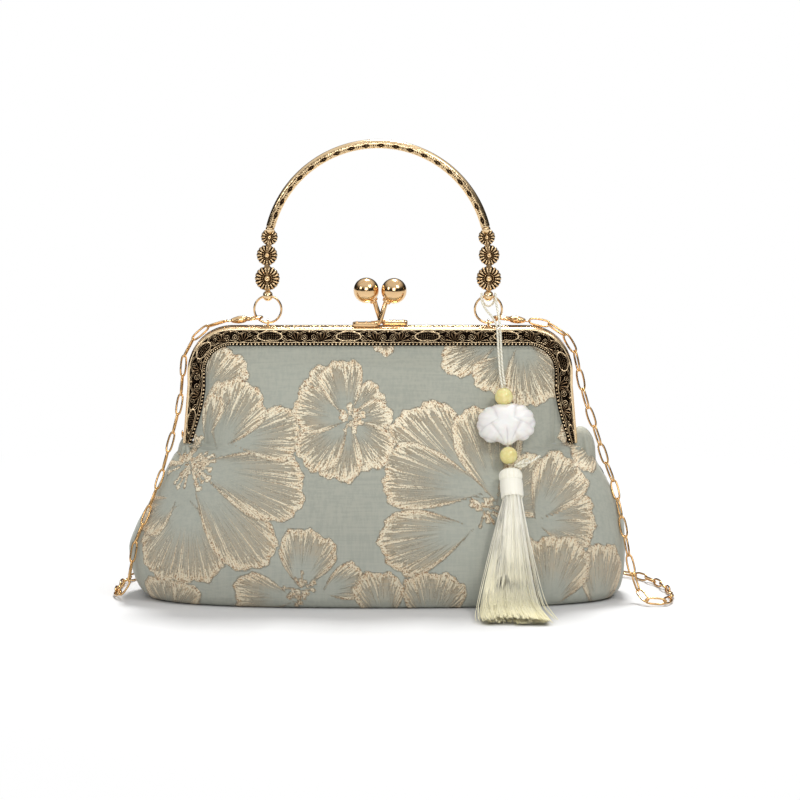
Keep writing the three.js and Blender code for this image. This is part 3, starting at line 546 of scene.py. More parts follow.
def curve_through(x, table_x, table_y):
    """A cubic through the table's values that rises or falls only where they do."""
    step = np.diff(table_x)
    slope = np.diff(table_y) / step
    both = slope[1:] + slope[:-1]
    same_way = slope[1:] * slope[:-1]
    inner = np.where(same_way > 0, 2 * same_way / np.where(both == 0, 1, both), 0)
    lean = np.concatenate([slope[:1], inner, slope[-1:]])
    k = np.clip(np.searchsorted(table_x, x, side="right") - 1, 0, len(step) - 1)
    t = (x - table_x[k]) / step[k]
    return cubic(t, table_y[k], table_y[k + 1], step[k] * lean[k], step[k] * lean[k + 1])


def smooth_rise(x, low, high):
    """From 0 at low to 1 at high, level at both ends."""
    t = np.clip((x - low) / (high - low), 0, 1)
    return t * t * (3 - 2 * t)


def hump(x, middle, width):
    """1 at the middle, falling off like a bell to both sides."""
    return np.exp(-((x - middle) / width) ** 2)


def wrapped(x, period):
    """The distance to the nearest multiple of the period, with its sign."""
    return (x + period / 2) % period - period / 2


def squared_off(x, power):
    """The size of x raised to the power, with the sign of x."""
    return np.sign(x) * np.abs(x) ** power


# Camera, light and floor

LENS = 200.0
SENSOR = 36.0
SEEN_WIDTH = 0.3902
TILT = math.radians(8)
AIM = np.array([0.00976, -0.02, 0.0997])
FLOOR_HALF = 9
FLOOR_POINTS = 19
PAPER = (0.65, 0.65, 0.65, 1)
WHITE = (1, 1, 1, 1)
# Soft boxes: name, place, width and power; all point to LIT_PLACE
SOFT_BOXES = [
    ("key_box", (0.75, -0.8, 1.15), 0.4, 5.4), ("left_box", (-1.2, -0.8, 0.8), 0.4, 2.4),
    ("front_box", (0.0, -1.9, 0.85), 0.7, 8.8), ("back_box", (0.1, 0.62, 1.3), 0.3, 20)]
LIT_PLACE = np.array([0, 0, 0.08])


def set_camera():
    """A long lens 8 degrees above the level."""
    camera = put_in_scene("camera", bpy.data.cameras.new("camera"))
    camera.data.lens = LENS
    camera.data.sensor_width = SENSOR
    camera.data.clip_start = 0.1
    camera.data.clip_end = 100
    away = SEEN_WIDTH * LENS / SENSOR
    camera.location = AIM + away * np.array([0, -math.cos(TILT), math.sin(TILT)])
    camera.rotation_euler = (math.pi / 2 - TILT, 0, 0)
    bpy.context.scene.camera = camera


def lay_floor():
    """Pale paper near the bag, which turns into plain white light further out."""
    side = np.linspace(-FLOOR_HALF, FLOOR_HALF, FLOOR_POINTS)
    x, y = np.meshgrid(side, side, indexing="ij")
    points = np.stack([x, y, np.zeros_like(x)], -1).reshape(-1, 3)
    faces = quad_corners(FLOOR_POINTS, FLOOR_POINTS, 0)[:, ::-1]
    mesh = bpy.data.meshes.new("floor")
    mesh.from_pydata(points.tolist(), [], faces.tolist())
    floor = put_in_scene("floor", mesh)
    paper = Finish("floor_paper", Roughness=0.8, Base_Color=PAPER)
    far = paper.node("ShaderNodeVectorMath", {"operation": "LENGTH"}, {0: paper.place()}, "Value")
    glow = paper.node("ShaderNodeEmission", sockets={"Color": WHITE, "Strength": 1.0})
    lit = Value(paper, paper.shader.outputs[0])
    blend = paper.node("ShaderNodeMixShader", sockets={0: far.rise(0.18, 0.5), 1: lit, 2: glow})
    surface = paper.tree.nodes["Material Output"].inputs["Surface"]
    paper.tree.links.new(blend.socket, surface)
    mesh.materials.append(paper.material)


def hang_surround():
    """The world: dark near the horizon and bright overhead, and plain white for the camera."""
    world = bpy.data.worlds.new("studio")
    bpy.context.scene.world = world
    around = Nodes(world, "Background")
    height = around.part_of(around.node("ShaderNodeTexCoord", output="Generated"), 2)
    shade = height.rise(0.3, 0.8, 0.015, 0.82)
    seen = around.node("ShaderNodeLightPath", output="Is Camera Ray")
    strength = around.node("ShaderNodeMix", sockets={"Factor": seen, "A": shade, "B": 1.02})
    around.feed("Strength", strength)
    around.shader.inputs["Color"].default_value = WHITE


def hang_soft_boxes():
    """Square area lights; each leans away from straight down by the angle whose cosine is the fall
    of its way to LIT_PLACE."""
    for name, place, size, power in SOFT_BOXES:
        lamp = bpy.data.lights.new(name, "AREA")
        lamp.size = size
        lamp.energy = power
        light = put_in_scene(name, lamp)
        light.location = place
        toward = unit(LIT_PLACE - np.array(place))
        heading = math.atan2(toward[1], toward[0]) - math.pi / 2
        light.rotation_euler = (math.acos(-toward[2]), 0, heading)


set_camera()
lay_floor()
hang_surround()
hang_soft_boxes()
bpy.context.scene.view_settings.view_transform = "Standard"

# The charm's cord

CHARM_CORD_ROUTE = [
    (61, -15, 106.5), (60.2, -12.8, 111), (59.7, -10.6, 117), (59.3, -9.2, 123), (59, -8.5, 129),
    (58.7, -8.1, 134.6), (58.2, -5.8, 138.6), (57.6, -2.4, 141.6), (57, 0.2, 145), (56.7, 0.9, 147.6),
    (56.6, 3, 149.4), (56.4, 5, 147.6), (55.6, 5.2, 144.4), (53.2, 5.2, 142.8), (50.8, 5.2, 144.4),
    (50, 5, 147.6), (49.8, 3, 149.4), (49.8, 0.9, 147.6), (50.2, 0.2, 145), (52.2, -2.4, 141.6),
    (55, -5.8, 138.6), (57, -8.1, 134.6), (57.6, -8.5, 129), (57.9, -9.2, 123), (58.3, -10.6, 117),
    (58.8, -12.8, 111), (60.3, -16.9, 102.6), (61.25, -21.35, 91), (62.2, -25.8, 79.4),
    (63, -29.7, 69.2)]
CORD_RADIUS = 0.55
cord_line = smooth_line(CHARM_CORD_ROUTE, 0.8)
silk = cord_finish()
charm_cord = make_piece("charm_cord_silk", [tube(cord_line, CORD_RADIUS)], silk, ["charm_cord"])

# The charm's beads, lotus, bow and tassel

THREAD_TOP = np.array([60.2, -16.3, 104.2])
THREAD_WAY = unit(np.array([63.1, -30.2, 67.9]) - THREAD_TOP)
LOTUS_HALF = (14.4, 10.9, 6.4)
LOTUS_COLUMNS = 180
LOTUS_ROWS = 36
TIER_REACH = 12.5


def on_thread(distance):
    """The place at a distance down the charm's straight thread."""
    return THREAD_TOP + THREAD_WAY * distance


def bead(centre, radius, hole, axis):
    """An arc turned about the axis, from the rim of the hole over the belly and back through the
    hole."""
    top = math.acos(hole / radius)
    t = np.linspace(-top, top, 23)
    arc = np.stack([radius * np.cos(t), radius * np.sin(t)], -1)
    through = np.stack([np.full(5, hole), np.linspace(arc[-1, 1], arc[0, 1], 5)], -1)
    return turned(np.vstack([arc, through[1:]]), centre, axis, 36)


def lotus(distance):
    """A carved flower: a pillow whose outline is scalloped by rounded petals. At an angle round
    the middle the outline's radius is an oval's, cut in by the petals' cosine; from the front's
    middle to the edge and back the depth follows a flattened half ellipse, grooved along lines
    that fan out from the foot."""
    half_wide, half_high, half_deep = LOTUS_HALF
    angle = full_turn(LOTUS_COLUMNS)[None]
    share = np.linspace(0, 1, LOTUS_ROWS) ** 0.8
    reach = np.concatenate([share, share[::-1][1:]])[:, None]
    side = np.repeat([-1, 1], [LOTUS_ROWS, LOTUS_ROWS - 1])[:, None]
    right, up = np.cos(angle), np.sin(angle)
    outline = 0.95 + 0.05 * np.abs(np.cos(angle * 7 + 0.2)) ** 0.7
    notch = 0.1 * hump(np.abs(angle - 1.5 * math.pi), 0.3, 0.1)
    level = np.where(up > 0, 1 - 0.07 * up**6, 1 - 0.12 * up**4)
    x = half_wide * squared_off(right, 0.85) * outline * reach
    z = half_high * squared_off(up, 0.92) * outline * level * (1 - notch) * reach
    foot = smooth_rise(-z, 6.0, 9.0) * np.exp(-(x / 2.4) ** 4)
    fan = np.arctan2(x, z + half_high * 1.05)
    from_foot = np.hypot(x * 0.8, z + half_high)
    tier = fan * 5.5 + np.where(from_foot < TIER_REACH, 1.57, 0)
    rim = 0.5 * hump(from_foot, TIER_REACH, 0.5)
    petal = np.abs(np.cos(tier)) ** 0.45 * (1 - rim)
    groove = 1 - (1 - petal) * smooth_rise(reach, 0.1, 0.5)
    depth = half_deep * (1 - reach**2.6) ** 0.55 * (0.87 + 0.13 * groove)
    across = np.array([1.0, 0, 0])
    across = unit(across - THREAD_WAY * across.dot(THREAD_WAY))
    forward = np.cross(THREAD_WAY, across)
    down = foot * 1.4 - z
    points = (on_thread(distance) + x[..., None] * across + down[..., None] * THREAD_WAY
              - (side * depth)[..., None] * forward)
    # relief_height here also masks the painted shade that lotus_finish puts in the grooves
    return points, {"relief_height": groove}


TASSEL_TOP = np.array([63.2, -31.4, 67.4])
TASSEL_WAY = unit(np.array([1.1, -6.6, -12.9]))
HEAD_RADIUS = 5.75
HEAD_LENGTH = 14.6
HEAD_COLUMNS = 72
# The head's outline: shares of its radius and of its length
HEAD_ROWS = np.array([
    (0, 0), (0.3, 0), (0.62, 0.03), (0.86, 0.09), (0.98, 0.2), (1, 0.3), (0.9, 0.38), (0.9, 0.4),
    (0.95, 0.44), (0.97, 0.62), (0.96, 0.8), (0.95, 0.93), (0.93, 1), (0, 1)])
# The skirt's middle line and size: across, front, height, half-width and half-depth
SKIRT_ROWS = np.array([
    (63.9, 35.9, 58.6, 2.6, 4.2),
    (64.2, 37.7, 55.2, 3.4, 4.2),
    (63.6, 42.0, 46.0, 5.2, 4.0),
    (63.0, 46.0, 28.0, 8.6, 3.5),
    (62.6, 49.4, 11.0, 12.0, 3.0),
    (63.0, 57.0, 3.8, 13.8, 2.0),
    (64.0, 69.0, 3.0, 15.0, 1.7),
    (65.6, 85.2, 2.2, 16.0, 1.4)])
STRAND_STEPS = 12
STRAND_RADIUS = 0.27


def tassel_head():
    """The head: a rounded cap, a wound band of thread and the neck's gather, turned about the head's own
    line, with fine ridges from the winding. Its colour values hold a tone that differs from column to
    column, partly painted satin sheen, and painted sheen and shade along the ridges and the pleats."""
    far = distances(HEAD_ROWS)
    out, down = read_off(HEAD_ROWS, far, np.linspace(0, 1, 170) * far[-1]).T
    wound = smooth_rise(down, 0.4, 0.45) * (1 - smooth_rise(down, 0.9, 0.95))
    down = down * HEAD_LENGTH
    ridge = wound * np.sin(down * TAU / 0.62)
    profile = np.stack([out * HEAD_RADIUS + 0.1 * ridge * (out > 0.5), down], -1)
    points, _ = turned(profile, TASSEL_TOP, TASSEL_WAY, HEAD_COLUMNS)
    fold = np.cos(full_turn(HEAD_COLUMNS) * 18)
    pleat = fold * ((1 - wound) * (out > 0.3))[:, None]
    middle = TASSEL_TOP + TASSEL_WAY * down[:, None]
    points = points + unit(points - middle[:, None]) * pleat[..., None] * 0.1
    # Tone that differs from column to column, partly painted satin sheen, plus painted sheen and shade
    # along the winding ridges and the pleats
    tone_and_sheen = np.random.default_rng(3).uniform(0, 1, HEAD_COLUMNS)
    tone_and_sheen = np.append(tone_and_sheen, tone_and_sheen[0]) * (1 - 0.4 * wound)[:, None] + 0.3 * ridge[:, None]
    return points, {"strand_share": np.clip(tone_and_sheen + 0.1 * pleat, 0, 1), "strand_down": 0.35}


def tassel_strands(count, seed, stray=0.0):
    """Silk threads: each has a place in the skirt's oval cross-section, or outside it up to stray;
    at every row of the table the place is scaled by the row's half-width and half-depth, and a slow
    sine bends the thread a little. Each is a three-sided pipe that narrows at its end."""
    pick = np.random.default_rng(seed)
    turn = pick.uniform(0, TAU, count)
    if stray:
        out = pick.uniform(1.0, 1.0 + stray, count)
    else:
        out = pick.uniform(0.0, 1.0, count) ** 0.2
    t = np.linspace(0, 1, STRAND_STEPS)
    knots = np.linspace(0, 1, len(SKIRT_ROWS))
    rows = np.stack([curve_through(t, knots, column) for column in SKIRT_ROWS.T], -1)
    end = pick.uniform(0.93, 1.0, count)
    right, near = np.cos(turn) * out, np.sin(turn) * out
    slant = 1 - 0.05 * (right < 0) * pick.uniform(0, 1, count)
    reach = t * (end * slant)[:, None]
    place = read_off(rows, t, reach)
    lean = read_off(unit(np.gradient(rows[:, 1:3], axis=0)), t, reach)
    bend = pick.uniform(0.2, 0.9, count)[:, None]
    pace = pick.uniform(4, 9, count)[:, None]
    start = pick.uniform(0, TAU, count)[:, None]
    layer = near[:, None] * place[..., 4]
    x = place[..., 0] + right[:, None] * place[..., 3] + bend * np.sin(t * pace + start) * t
    y = lean[..., 1] * layer - place[..., 1]
    z = place[..., 2] + lean[..., 0] * layer
    z = np.maximum(z, 0.35 + 0.5 * pick.uniform(0, 1, count)[:, None])
    line = np.stack([x, y, z], -1)
    ahead = unit(np.gradient(line, axis=1))
    side = unit(np.cross(ahead, np.array([0.13, 0.2, 0.97])))
    radius = STRAND_RADIUS * (1 - 0.45 * t**6)[:, None, None]
    corners = circle(full_turn(3), side[:, :, None], np.cross(ahead, side)[:, :, None])
    points = line[:, :, None] + radius * corners
    share = pick.uniform(0, 1, count)
    return [(points[k], {"strand_share": share[k], "strand_down": reach[k][:, None]})
            for k in range(count)]


# The knot's small loops and its tail beside the lower bead
BOW_LINES = [
    [(65.4, -32.4, 69.4), (67.4, -33.6, 70.3), (70, -33.7, 71), (71.6, -33.2, 70.4),
     (70.2, -33, 69.2), (67.6, -32.8, 68.8), (65.6, -32.4, 69.2)],
    [(66.6, -32.6, 69), (68.6, -32.9, 69.3), (71.4, -32.3, 70.3), (74.6, -31.2, 71.7),
     (78, -29.8, 73.8)],
    [(65.8, -32.6, 69.4), (68.4, -32, 71), (71.8, -31.4, 72.2), (72.6, -31.4, 71.2),
     (69.4, -32.4, 69.8), (66, -32.6, 69)]]

jade = jade_finish()
tassel_silk = tassel_finish()
bead_top = make_piece(
    "bead_top", [bead(on_thread(3.55), 4.45, 1.0, THREAD_WAY)], jade, ["charm_bead_top"])
bead_bottom = make_piece(
    "bead_bottom", [bead(on_thread(32.938), 4.35, 1.0, THREAD_WAY)], jade, ["charm_bead_bottom"])
flower = make_piece("lotus_flower", [lotus(17.192)], lotus_finish(), ["charm_lotus"])
bow = make_piece(
    "cord_bow", [tube(smooth_line(line, 0.5), 0.5, 10) for line in BOW_LINES], silk, ["charm_bow"])
head = make_piece("tassel_head", [tassel_head()], tassel_silk, ["tassel"])
make_piece(
    "tassel_skirt", tassel_strands(1150, 7) + tassel_strands(46, 11, 0.3), tassel_silk, ["tassel"],
    closed=False)

# The cloth bag

CLOTH_HEIGHT = 130.3
LEFT_REACH = 124.0
RIGHT_REACH = 121.0
HALF_DEPTH = 43.5
MOUTH_HALF = 4.3
FRAME_TOP = 133.5
FRAME_HALF = 94.6
LEG_END = 76.5
LEG_FLARE = 2.4
LEG_STRAIGHT = 105.0
CORNER = 22.0
BAND = 9.0
LEG_TIP = 4.2
FRAME_DEPTH = 6.0
FRAME_WALL = 1.2
HALVES_GAP = 0.6
PANEL_INSET = 3.4
ARC_CENTRE = FRAME_TOP - CORNER
# The cosine and the sine of the photo's 8 degrees, for the height at which the photo shows a point
UPRIGHT = 0.9903
AWAY = 0.1392


def arc_reach(height, radius):
    """The half-width at a height on the corner's arc: the cathetus of its radius and the height
    over its centre."""
    up = np.minimum(height - ARC_CENTRE, radius)
    return FRAME_HALF - CORNER + np.sqrt(np.maximum(radius**2 - up**2, 0))


def frame_reach(height):
    """The frame's outer half-width: a flared leg, a straight and the corner's arc."""
    leg = FRAME_HALF + LEG_FLARE * np.maximum((LEG_STRAIGHT - height) / (LEG_STRAIGHT - LEG_END), 0)
    return np.where(height > ARC_CENTRE, arc_reach(height, CORNER), leg)


def face_width(height):
    """The band's width: on the legs it grows from the tip's by a quarter of a sine wave."""
    share = np.clip((height - LEG_END) / (LEG_STRAIGHT - LEG_END), 0, 1)
    return LEG_TIP + (BAND - LEG_TIP) * np.sin(share * math.pi / 2)


def panel_reach(height):
    """The cloth's half-width inside the frame, a little less near the ends of the legs."""
    near_end = np.maximum(1 - (height - LEG_END) / 12, 0)
    leg = frame_reach(height) - PANEL_INSET - LEG_FLARE * 0.8 * near_end
    return np.where(height > ARC_CENTRE, arc_reach(height, CORNER - PANEL_INSET), leg)


def bulge_reach(height):
    """The half-width of the cloth that bulges out inside the frame's face."""
    leg = np.minimum(frame_reach(height) - face_width(height), panel_reach(height)) - 0.9
    return np.where(height > ARC_CENTRE, arc_reach(height, CORNER - BAND - 0.9), leg)


def bag_rows():
    """The bag's level sections: height, left and right reach, share where the bulge ends, side and
    middle half-depth, and squareness."""
    low = np.array([
        (0, .895, .925, .77, .88, 3.2), (.0115, .925, .955, .84, .945, 3.2),
        (.046, .963, .984, .897, .99, 3), (.107, .988, .996, .897, 1, 2.9),
        (.184, 1, 1, .874, .977, 2.8), (.261, .974, .996, .828, .943, 2.7),
        (.368, .912, .963, .736, .874, 2.6), (.46, .862, .913, .598, .782, 2.6),
        (.53, .822, .868, .42, .69, 2.6)])
    rows = np.column_stack([
        low[:, 0] * CLOTH_HEIGHT, low[:, 1] * LEFT_REACH, low[:, 2] * RIGHT_REACH,
        np.full(len(low), 0.93), low[:, 3] * HALF_DEPTH, low[:, 4] * HALF_DEPTH, low[:, 5]])
    lobe = np.array([[LEG_END - 2.6, 97, 101.5, 0.93, 11, 0.64 * HALF_DEPTH, 2.8]])
    rise = np.array([(LEG_END - 0.3) / CLOTH_HEIGHT, .66, .77, .87, .94, 1])
    middle = np.array([.64, .53, .39, .25, .113, 0]) * HALF_DEPTH
    height = rise * CLOTH_HEIGHT
    high = np.column_stack([
        height, panel_reach(height), panel_reach(height),
        np.minimum(bulge_reach(height) / panel_reach(height), 0.93),
        np.full(6, MOUTH_HALF), np.maximum(middle, MOUTH_HALF), np.full(6, 24)])
    return np.vstack([rows, lobe, high])


BAG_ROWS = bag_rows()
WALL_STEPS = 1601


def bag_surface(heights, columns, front, inset):
    """Half of the bag's wall, at equal distances along each level row from the left seam to the
    right one, and for each point its distance across the cloth. A row is a squared oval: x is the
    reach times the share, and the depth grows from the side's to the middle's as one less the
    square of the share over the bulge, raised to 0.8, and is rounded off at the seam. Rows are then
    averaged with their neighbours where the wall leans in under the frame."""
    share = np.sin(np.linspace(-math.pi / 2, math.pi / 2, WALL_STEPS))
    rows = []
    for height in heights:
        left, right, bulge, side, middle, square = (
            curve_through(height, BAG_ROWS[:, 0], column) for column in BAG_ROWS.T[1:])
        if height > LEG_END - 0.3:
            left = right = panel_reach(height)
            bulge = min(bulge_reach(height) / left, 0.93)
        reach = np.where(share < 0, left, right) - inset
        swell = np.maximum(1 - (share / bulge) ** 2, 0) ** 0.8
        depth = side - inset + (middle - side) * swell
        depth = depth * (1 - np.abs(share) ** square) ** (1 / square)
        line = np.stack([reach * share, front * depth, np.full(WALL_STEPS, height)], -1)
        bend = smooth_rise(np.abs(share), 0.86, 0.95)
        step = np.diff(line, axis=0)
        flat = np.hypot(step[:, 0], step[:, 1] * (bend[1:] + bend[:-1]) / 2)
        across = np.concatenate([[0], np.cumsum(flat)])
        across = across - np.interp(0, line[:, 0], across)
        far = distances(line)
        marks = np.linspace(0, far[-1], columns)
        rows.append(read_off(np.column_stack([line, across]), far, marks))
    rows = np.array(rows)
    near = hump(heights[:, None], heights, 6.5) * np.gradient(heights)
    eased = np.einsum("ij,jkl->ikl", near / near.sum(1, keepdims=True), rows)
    middle = 1 - smooth_rise(np.abs(rows[..., 0]), 66, 90)
    ledge = smooth_rise(heights, 52, 66) * (1 - smooth_rise(heights, 92, 108))
    mix = (middle * ledge[:, None])[..., None]
    eased[..., 2] = rows[..., 2]
    return rows * (1 - mix) + eased * mix


# A petal grows from a base point on the cloth: across from the middle and up, in millimetres,
# its turn and half-spread in degrees, its length and how thickly its threads lie.
PETALS = [
    # petals that hang from the frame
    (2, 127.7, -95, 58, 9.8, 0.75), (58.5, 125.2, 205, 30, 30.2, 0.6), (63.4, 117.9, 228, 42, 22, 0.6),
    (68.3, 125.2, -68, 47, 33.5, 0.62),
    # petals in the lower left corner
    (-102.4, -11.3, 58, 42, 20.5, 0.55), (-102.4, -11.3, 112, 40, 23.4, 0.55),
    # bloom on the left
    (-93.2, 47.2, -98, 56, 41, 0.42), (-99.5, 47.2, -150, 40, 24, 0.4), (-92.8, 62.8, -52, 26, 59, 0.36),
    (-91.8, 64.8, -16, 30, 56.7, 0.36), (-88.8, 96.9, 50, 42, 29.3, 0.6), (-75.1, 75.5, 9, 35, 37.6, 0.4),
    (-80.1, 71.5, 66, 42, 36.2, 0.44), (-86.9, 74.5, 75, 21, 25.4, 0.4), (-97.5, 70, 100, 30, 26, 0.4),
    # large bloom right of the middle
    (51.8, 47.1, 134, 31, 58.7, 0.42), (45.9, 33.5, 192, 35, 46.4, 0.4), (52.8, 51.1, 168, 30, 52.8, 0.38),
    (58.5, 44.2, 100, 35, 49.8, 0.45), (56.5, 44.2, 30, 52, 33.2, 0.46), (58, 36, -60, 42, 26, 0.36),
    # fans on the right
    (75.6, 37.4, -2, 45, 30.2, 0.48), (75.6, 37.4, 58, 40, 35.1, 0.48), (107.3, -10.9, 84, 37, 36.1, 0.46),
    (82, -6, 82, 52, 36.1, 0.46),
    # round blossom
    (-15.6, 86.2, 47, 35, 22.5, 0.46), (-15.6, 86.2, 2, 45, 21.5, 0.46),
    (-15.6, 86.2, -51, 45, 27.8, 0.52), (-15.6, 86.2, 128, 35, 30.2, 0.4),
    (-15.6, 86.2, -104, 40, 30.7, 0.55), (-15.6, 86.2, -137, 40, 30.2, 0.5),
    (-15.6, 86.2, 163, 45, 27.3, 0.4), (-15.6, 86.2, 100, 36, 29.8, 0.45),
    # blossom at the foot
    (-39, 4.3, 78, 50, 29.3, 0.34), (-28.3, 2.3, 22, 42, 22.5, 0.34), (-40.9, -1.6, 172, 35, 30.3, 0.4),
    # petals along the foot
    (24.4, -15.2, 84, 58, 28.3, 0.42), (2.4, -13.8, 100, 47, 26.8, 0.42),
    # petals on the right edge
    (107.3, 81.3, 185, 50, 18.5, 0.6), (113.2, 76.5, 215, 40, 21.5, 0.55)]

# Stamens: centre across and up, how far they spread, how many, and the share they leave free
STAMENS = [
    (-93, 65, 14, 74, 0.15), (-14.6, 86.7, 7, 34, 0.4), (-38, 4, 8.5, 26, 0.3),
    (51, 43, 9, 26, 0.2)]


def petal_fields(across, up):
    """The distance round the petal in millimetres, the distance to its edge and the cover at each
    point. With the share as the angle from the petal's middle over its half-spread, the edge lies
    from the base at the length times the power 0.36 of one less the share's power 2.8, and is
    ruffled by two sines of the distance round it; later petals lie over earlier ones."""
    vein, rim, cover = (np.zeros_like(across) for _ in range(3))
    for index, (x, y, turn, spread, length, thick) in enumerate(PETALS):
        out = np.hypot(across - x, up - y)
        angle = np.angle(np.exp(1j * (np.arctan2(up - y, across - x) - math.radians(turn))))
        spread = math.radians(spread)
        share = np.clip(np.abs(angle) / spread, 0, 0.998)
        round_it = angle * length
        ruffle = 0.75 * np.sin(round_it / 1.9 + index) + 0.4 * np.sin(round_it / 0.83 + 2.3 * index)
        broad = 0.022 * length * np.sin(round_it / 4.6 + 1.7 * index)
        bow = 1 - share**2.8
        edge = length * bow**0.36 + (ruffle + broad) * smooth_rise(bow, 0, 0.35)
        steep = share**1.8 * length * bow**-0.64 / spread
        near = (edge - out) / np.sqrt(1 + (steep / np.maximum(out, 1)) ** 2)
        inside = (near > 0) & (np.abs(angle) < spread)
        along = np.clip(out / np.maximum(edge, 1e-3), 0, 1)
        laid = thick * smooth_rise(along, 0.12, 0.85) * (0.5 + 0.5 * np.exp(-near / (0.2 * length)))
        stitched = 0.22 * (angle > 0) + 0.78 * smooth_rise(along, 0.35, 0.8)
        hem = (0.95 - thick * 0.5) * hump(near, 0, 2) + 0.2 * hump(near, 0, 5)
        laid = laid + stitched * hem
        vein = np.where(inside, round_it + index * 7.3, vein)
        rim = np.where(inside, np.clip(near, 0, 9), rim)
        cover = np.where(inside, np.clip(laid, 0.02, 1), cover)
    pick = np.random.default_rng(5)
    for x, y, spread, count, free in STAMENS:
        turn = pick.uniform(0, TAU, count)
        far = spread * pick.uniform(free, 1, count)
        for a, r, size in zip(turn, far, pick.uniform(0.75, 1.35, count)):
            tip = np.hypot(across - x - r * math.cos(a), (up - y - r * math.sin(a)) * 1.1)
            t = np.clip(((across - x) * math.cos(a) + (up - y) * math.sin(a)) / r, 0.45, 1)
            stalk = np.hypot(across - x - t * r * math.cos(a), up - y - t * r * math.sin(a))
            near = np.maximum(size - tip, 0.45 - stalk)
            hit = near > 0
            rim = np.where(hit, np.maximum(near, 0.3) * 2.2, rim)
            cover = np.where(hit, 0.98, cover)
            vein = np.where(hit, near * 0.5 + r, vein)
    return vein, rim, cover


def grid_normals(points):
    """The direction square to a grid's rows and columns at each point."""
    along, around = np.gradient(points, axis=0), np.gradient(points, axis=1)
    return unit(np.cross(around, along))


def cloth_panel(front, columns):
    """The bag's outer cloth on one side: from the middle of the base out to its edge, up to the
    mouth and a little way over the hem. Soft folds and the raised threads move it outwards."""
    heights = np.concatenate([
        np.linspace(0, 3, 6), np.linspace(3, LEG_END - 2.6, 96)[1:],
        np.linspace(LEG_END - 2.6, LEG_END - 0.3, 4)[1:],
        np.linspace(LEG_END - 0.3, CLOTH_HEIGHT, 84)[1:]])
    wall = bag_surface(heights, columns, front, 0.0)
    points, across = wall[..., :3], wall[..., 3]
    height = points[..., 2]
    up = UPRIGHT * height - AWAY * np.abs(points[..., 1])
    if front < 0:
        vein, rim, cover = petal_fields(across, up)
    else:
        vein, rim, cover = petal_fields(-across * 0.97 + 8, up + 3)
    outward = grid_normals(points)
    outward = outward * np.sign((outward[..., 1] * front).mean())
    free = smooth_rise(height, 2, 16) * (1 - smooth_rise(height, 60, 76))
    free = free * (1 - smooth_rise(np.abs(across), 84, 104))
    soft = (0.55 * np.sin(across / 23 + height / 31 + front)
            + 0.35 * np.sin(across / 11 - height / 17)) * free
    raised = 0.32 * np.clip(rim / 0.9, 0, 1) * (0.3 + 0.7 * cover)
    raised = raised * (1 - smooth_rise(height, 116, 126)) * (height > 0.5)
    points = points + outward * (soft + raised)[..., None]
    points[..., 2] = np.maximum(points[..., 2], 0)
    inner = points[0] * np.array([1, 0, 1])
    base = inner + np.linspace(0, 1, 8)[:-1, None, None] * (points[0] - inner)
    over = points[-1] + np.array([0, -front * 1.2, 0.4])
    down = over + np.array([0, 0, -3.0])
    points = np.concatenate([base, points, over[None], down[None]])
    fields = {"petal_vein": vein, "petal_rim": rim, "petal_cover": cover}
    fields = {key: np.pad(value, ((len(base), 2), (0, 0))) for key, value in fields.items()}
    if front < 0:
        return points[:, ::-1], {key: value[:, ::-1] for key, value in fields.items()}
    return points, fields


def gusset_lobe(side, centre, half):
    """The gusset's cloth where it balloons out below the end of the frame's leg: an oval pillow
    whose depth is pinched along a fold down its middle."""
    rise = np.linspace(-math.pi / 2, math.pi / 2, 41)[:, None]
    turn = full_turn(72)
    crease = 0.24 * np.exp(-(np.cos(turn) - 0.2) ** 2 / 0.03)
    fold = 1 - (crease + 0.05 * np.cos(9 * turn + 3 * rise)) * np.cos(rise)
    x = centre[0] + side * half[0] * np.cos(rise) * np.cos(turn) * fold
    y = centre[1] + half[1] * np.cos(rise) * np.sin(turn) * fold
    z = np.broadcast_to(centre[2] + half[2] * np.sin(rise), x.shape)
    return np.stack([x, y, z], -1), dict.fromkeys(("petal_vein", "petal_rim", "petal_cover"), 0.0)


def lining():
    """The inside: the wall set in by 1 mm and by 2 mm, joined at the mouth, with a double floor."""
    heights = np.concatenate([
        np.linspace(2, LEG_END - 3, 26), np.linspace(LEG_END + 0.5, 127, 22)])
    layers = []
    for inset, rows in ((1.0, heights), (2.0, heights[::-1])):
        near, far = (bag_surface(rows, 64, front, inset)[..., :3] for front in (-1, 1))
        layers.append(np.concatenate([near, far[:, ::-1][:, 1:]], 1))
    wall = np.concatenate(layers)
    floors = wall[[0, -1]] * np.array([0, 0, 1])
    return np.concatenate([floors[:1], wall, floors[1:]]), {"petal_cover": 0.0}


brocade = brocade_finish()
make_piece("cloth_front", [cloth_panel(-1, 452)], brocade, ["cloth_body"], closed=False)
make_piece("cloth_back", [cloth_panel(1, 300)], brocade, ["cloth_body"], closed=False)
lobes = [gusset_lobe(1, (98.6, 1.5, 69.6), (7.6, 8, 14)), gusset_lobe(-1, (-95.4, 0, 68), (4.6, 8, 11))]
make_piece("cloth_gussets", lobes, brocade, ["cloth_body"])
make_piece("cloth_lining", [lining()], lining_finish(), ["cloth_body"])

# The frame

RING_X = (-55.2, 53.2)
RING_Y = 3.0
RING_Z = 141.5
RING_RADIUS = 6.65
RING_BOTTOM = 134.85
PIVOT_Z = 148.15
BEAD_LANE = 1.7
BEAD_PITCH = 1.8
CHAMFER = 0.8
FACE_ROWS = 56
# How far the relief's pattern repeats, and where it starts
REPEAT = 38.6
PATTERN_START = 3.9


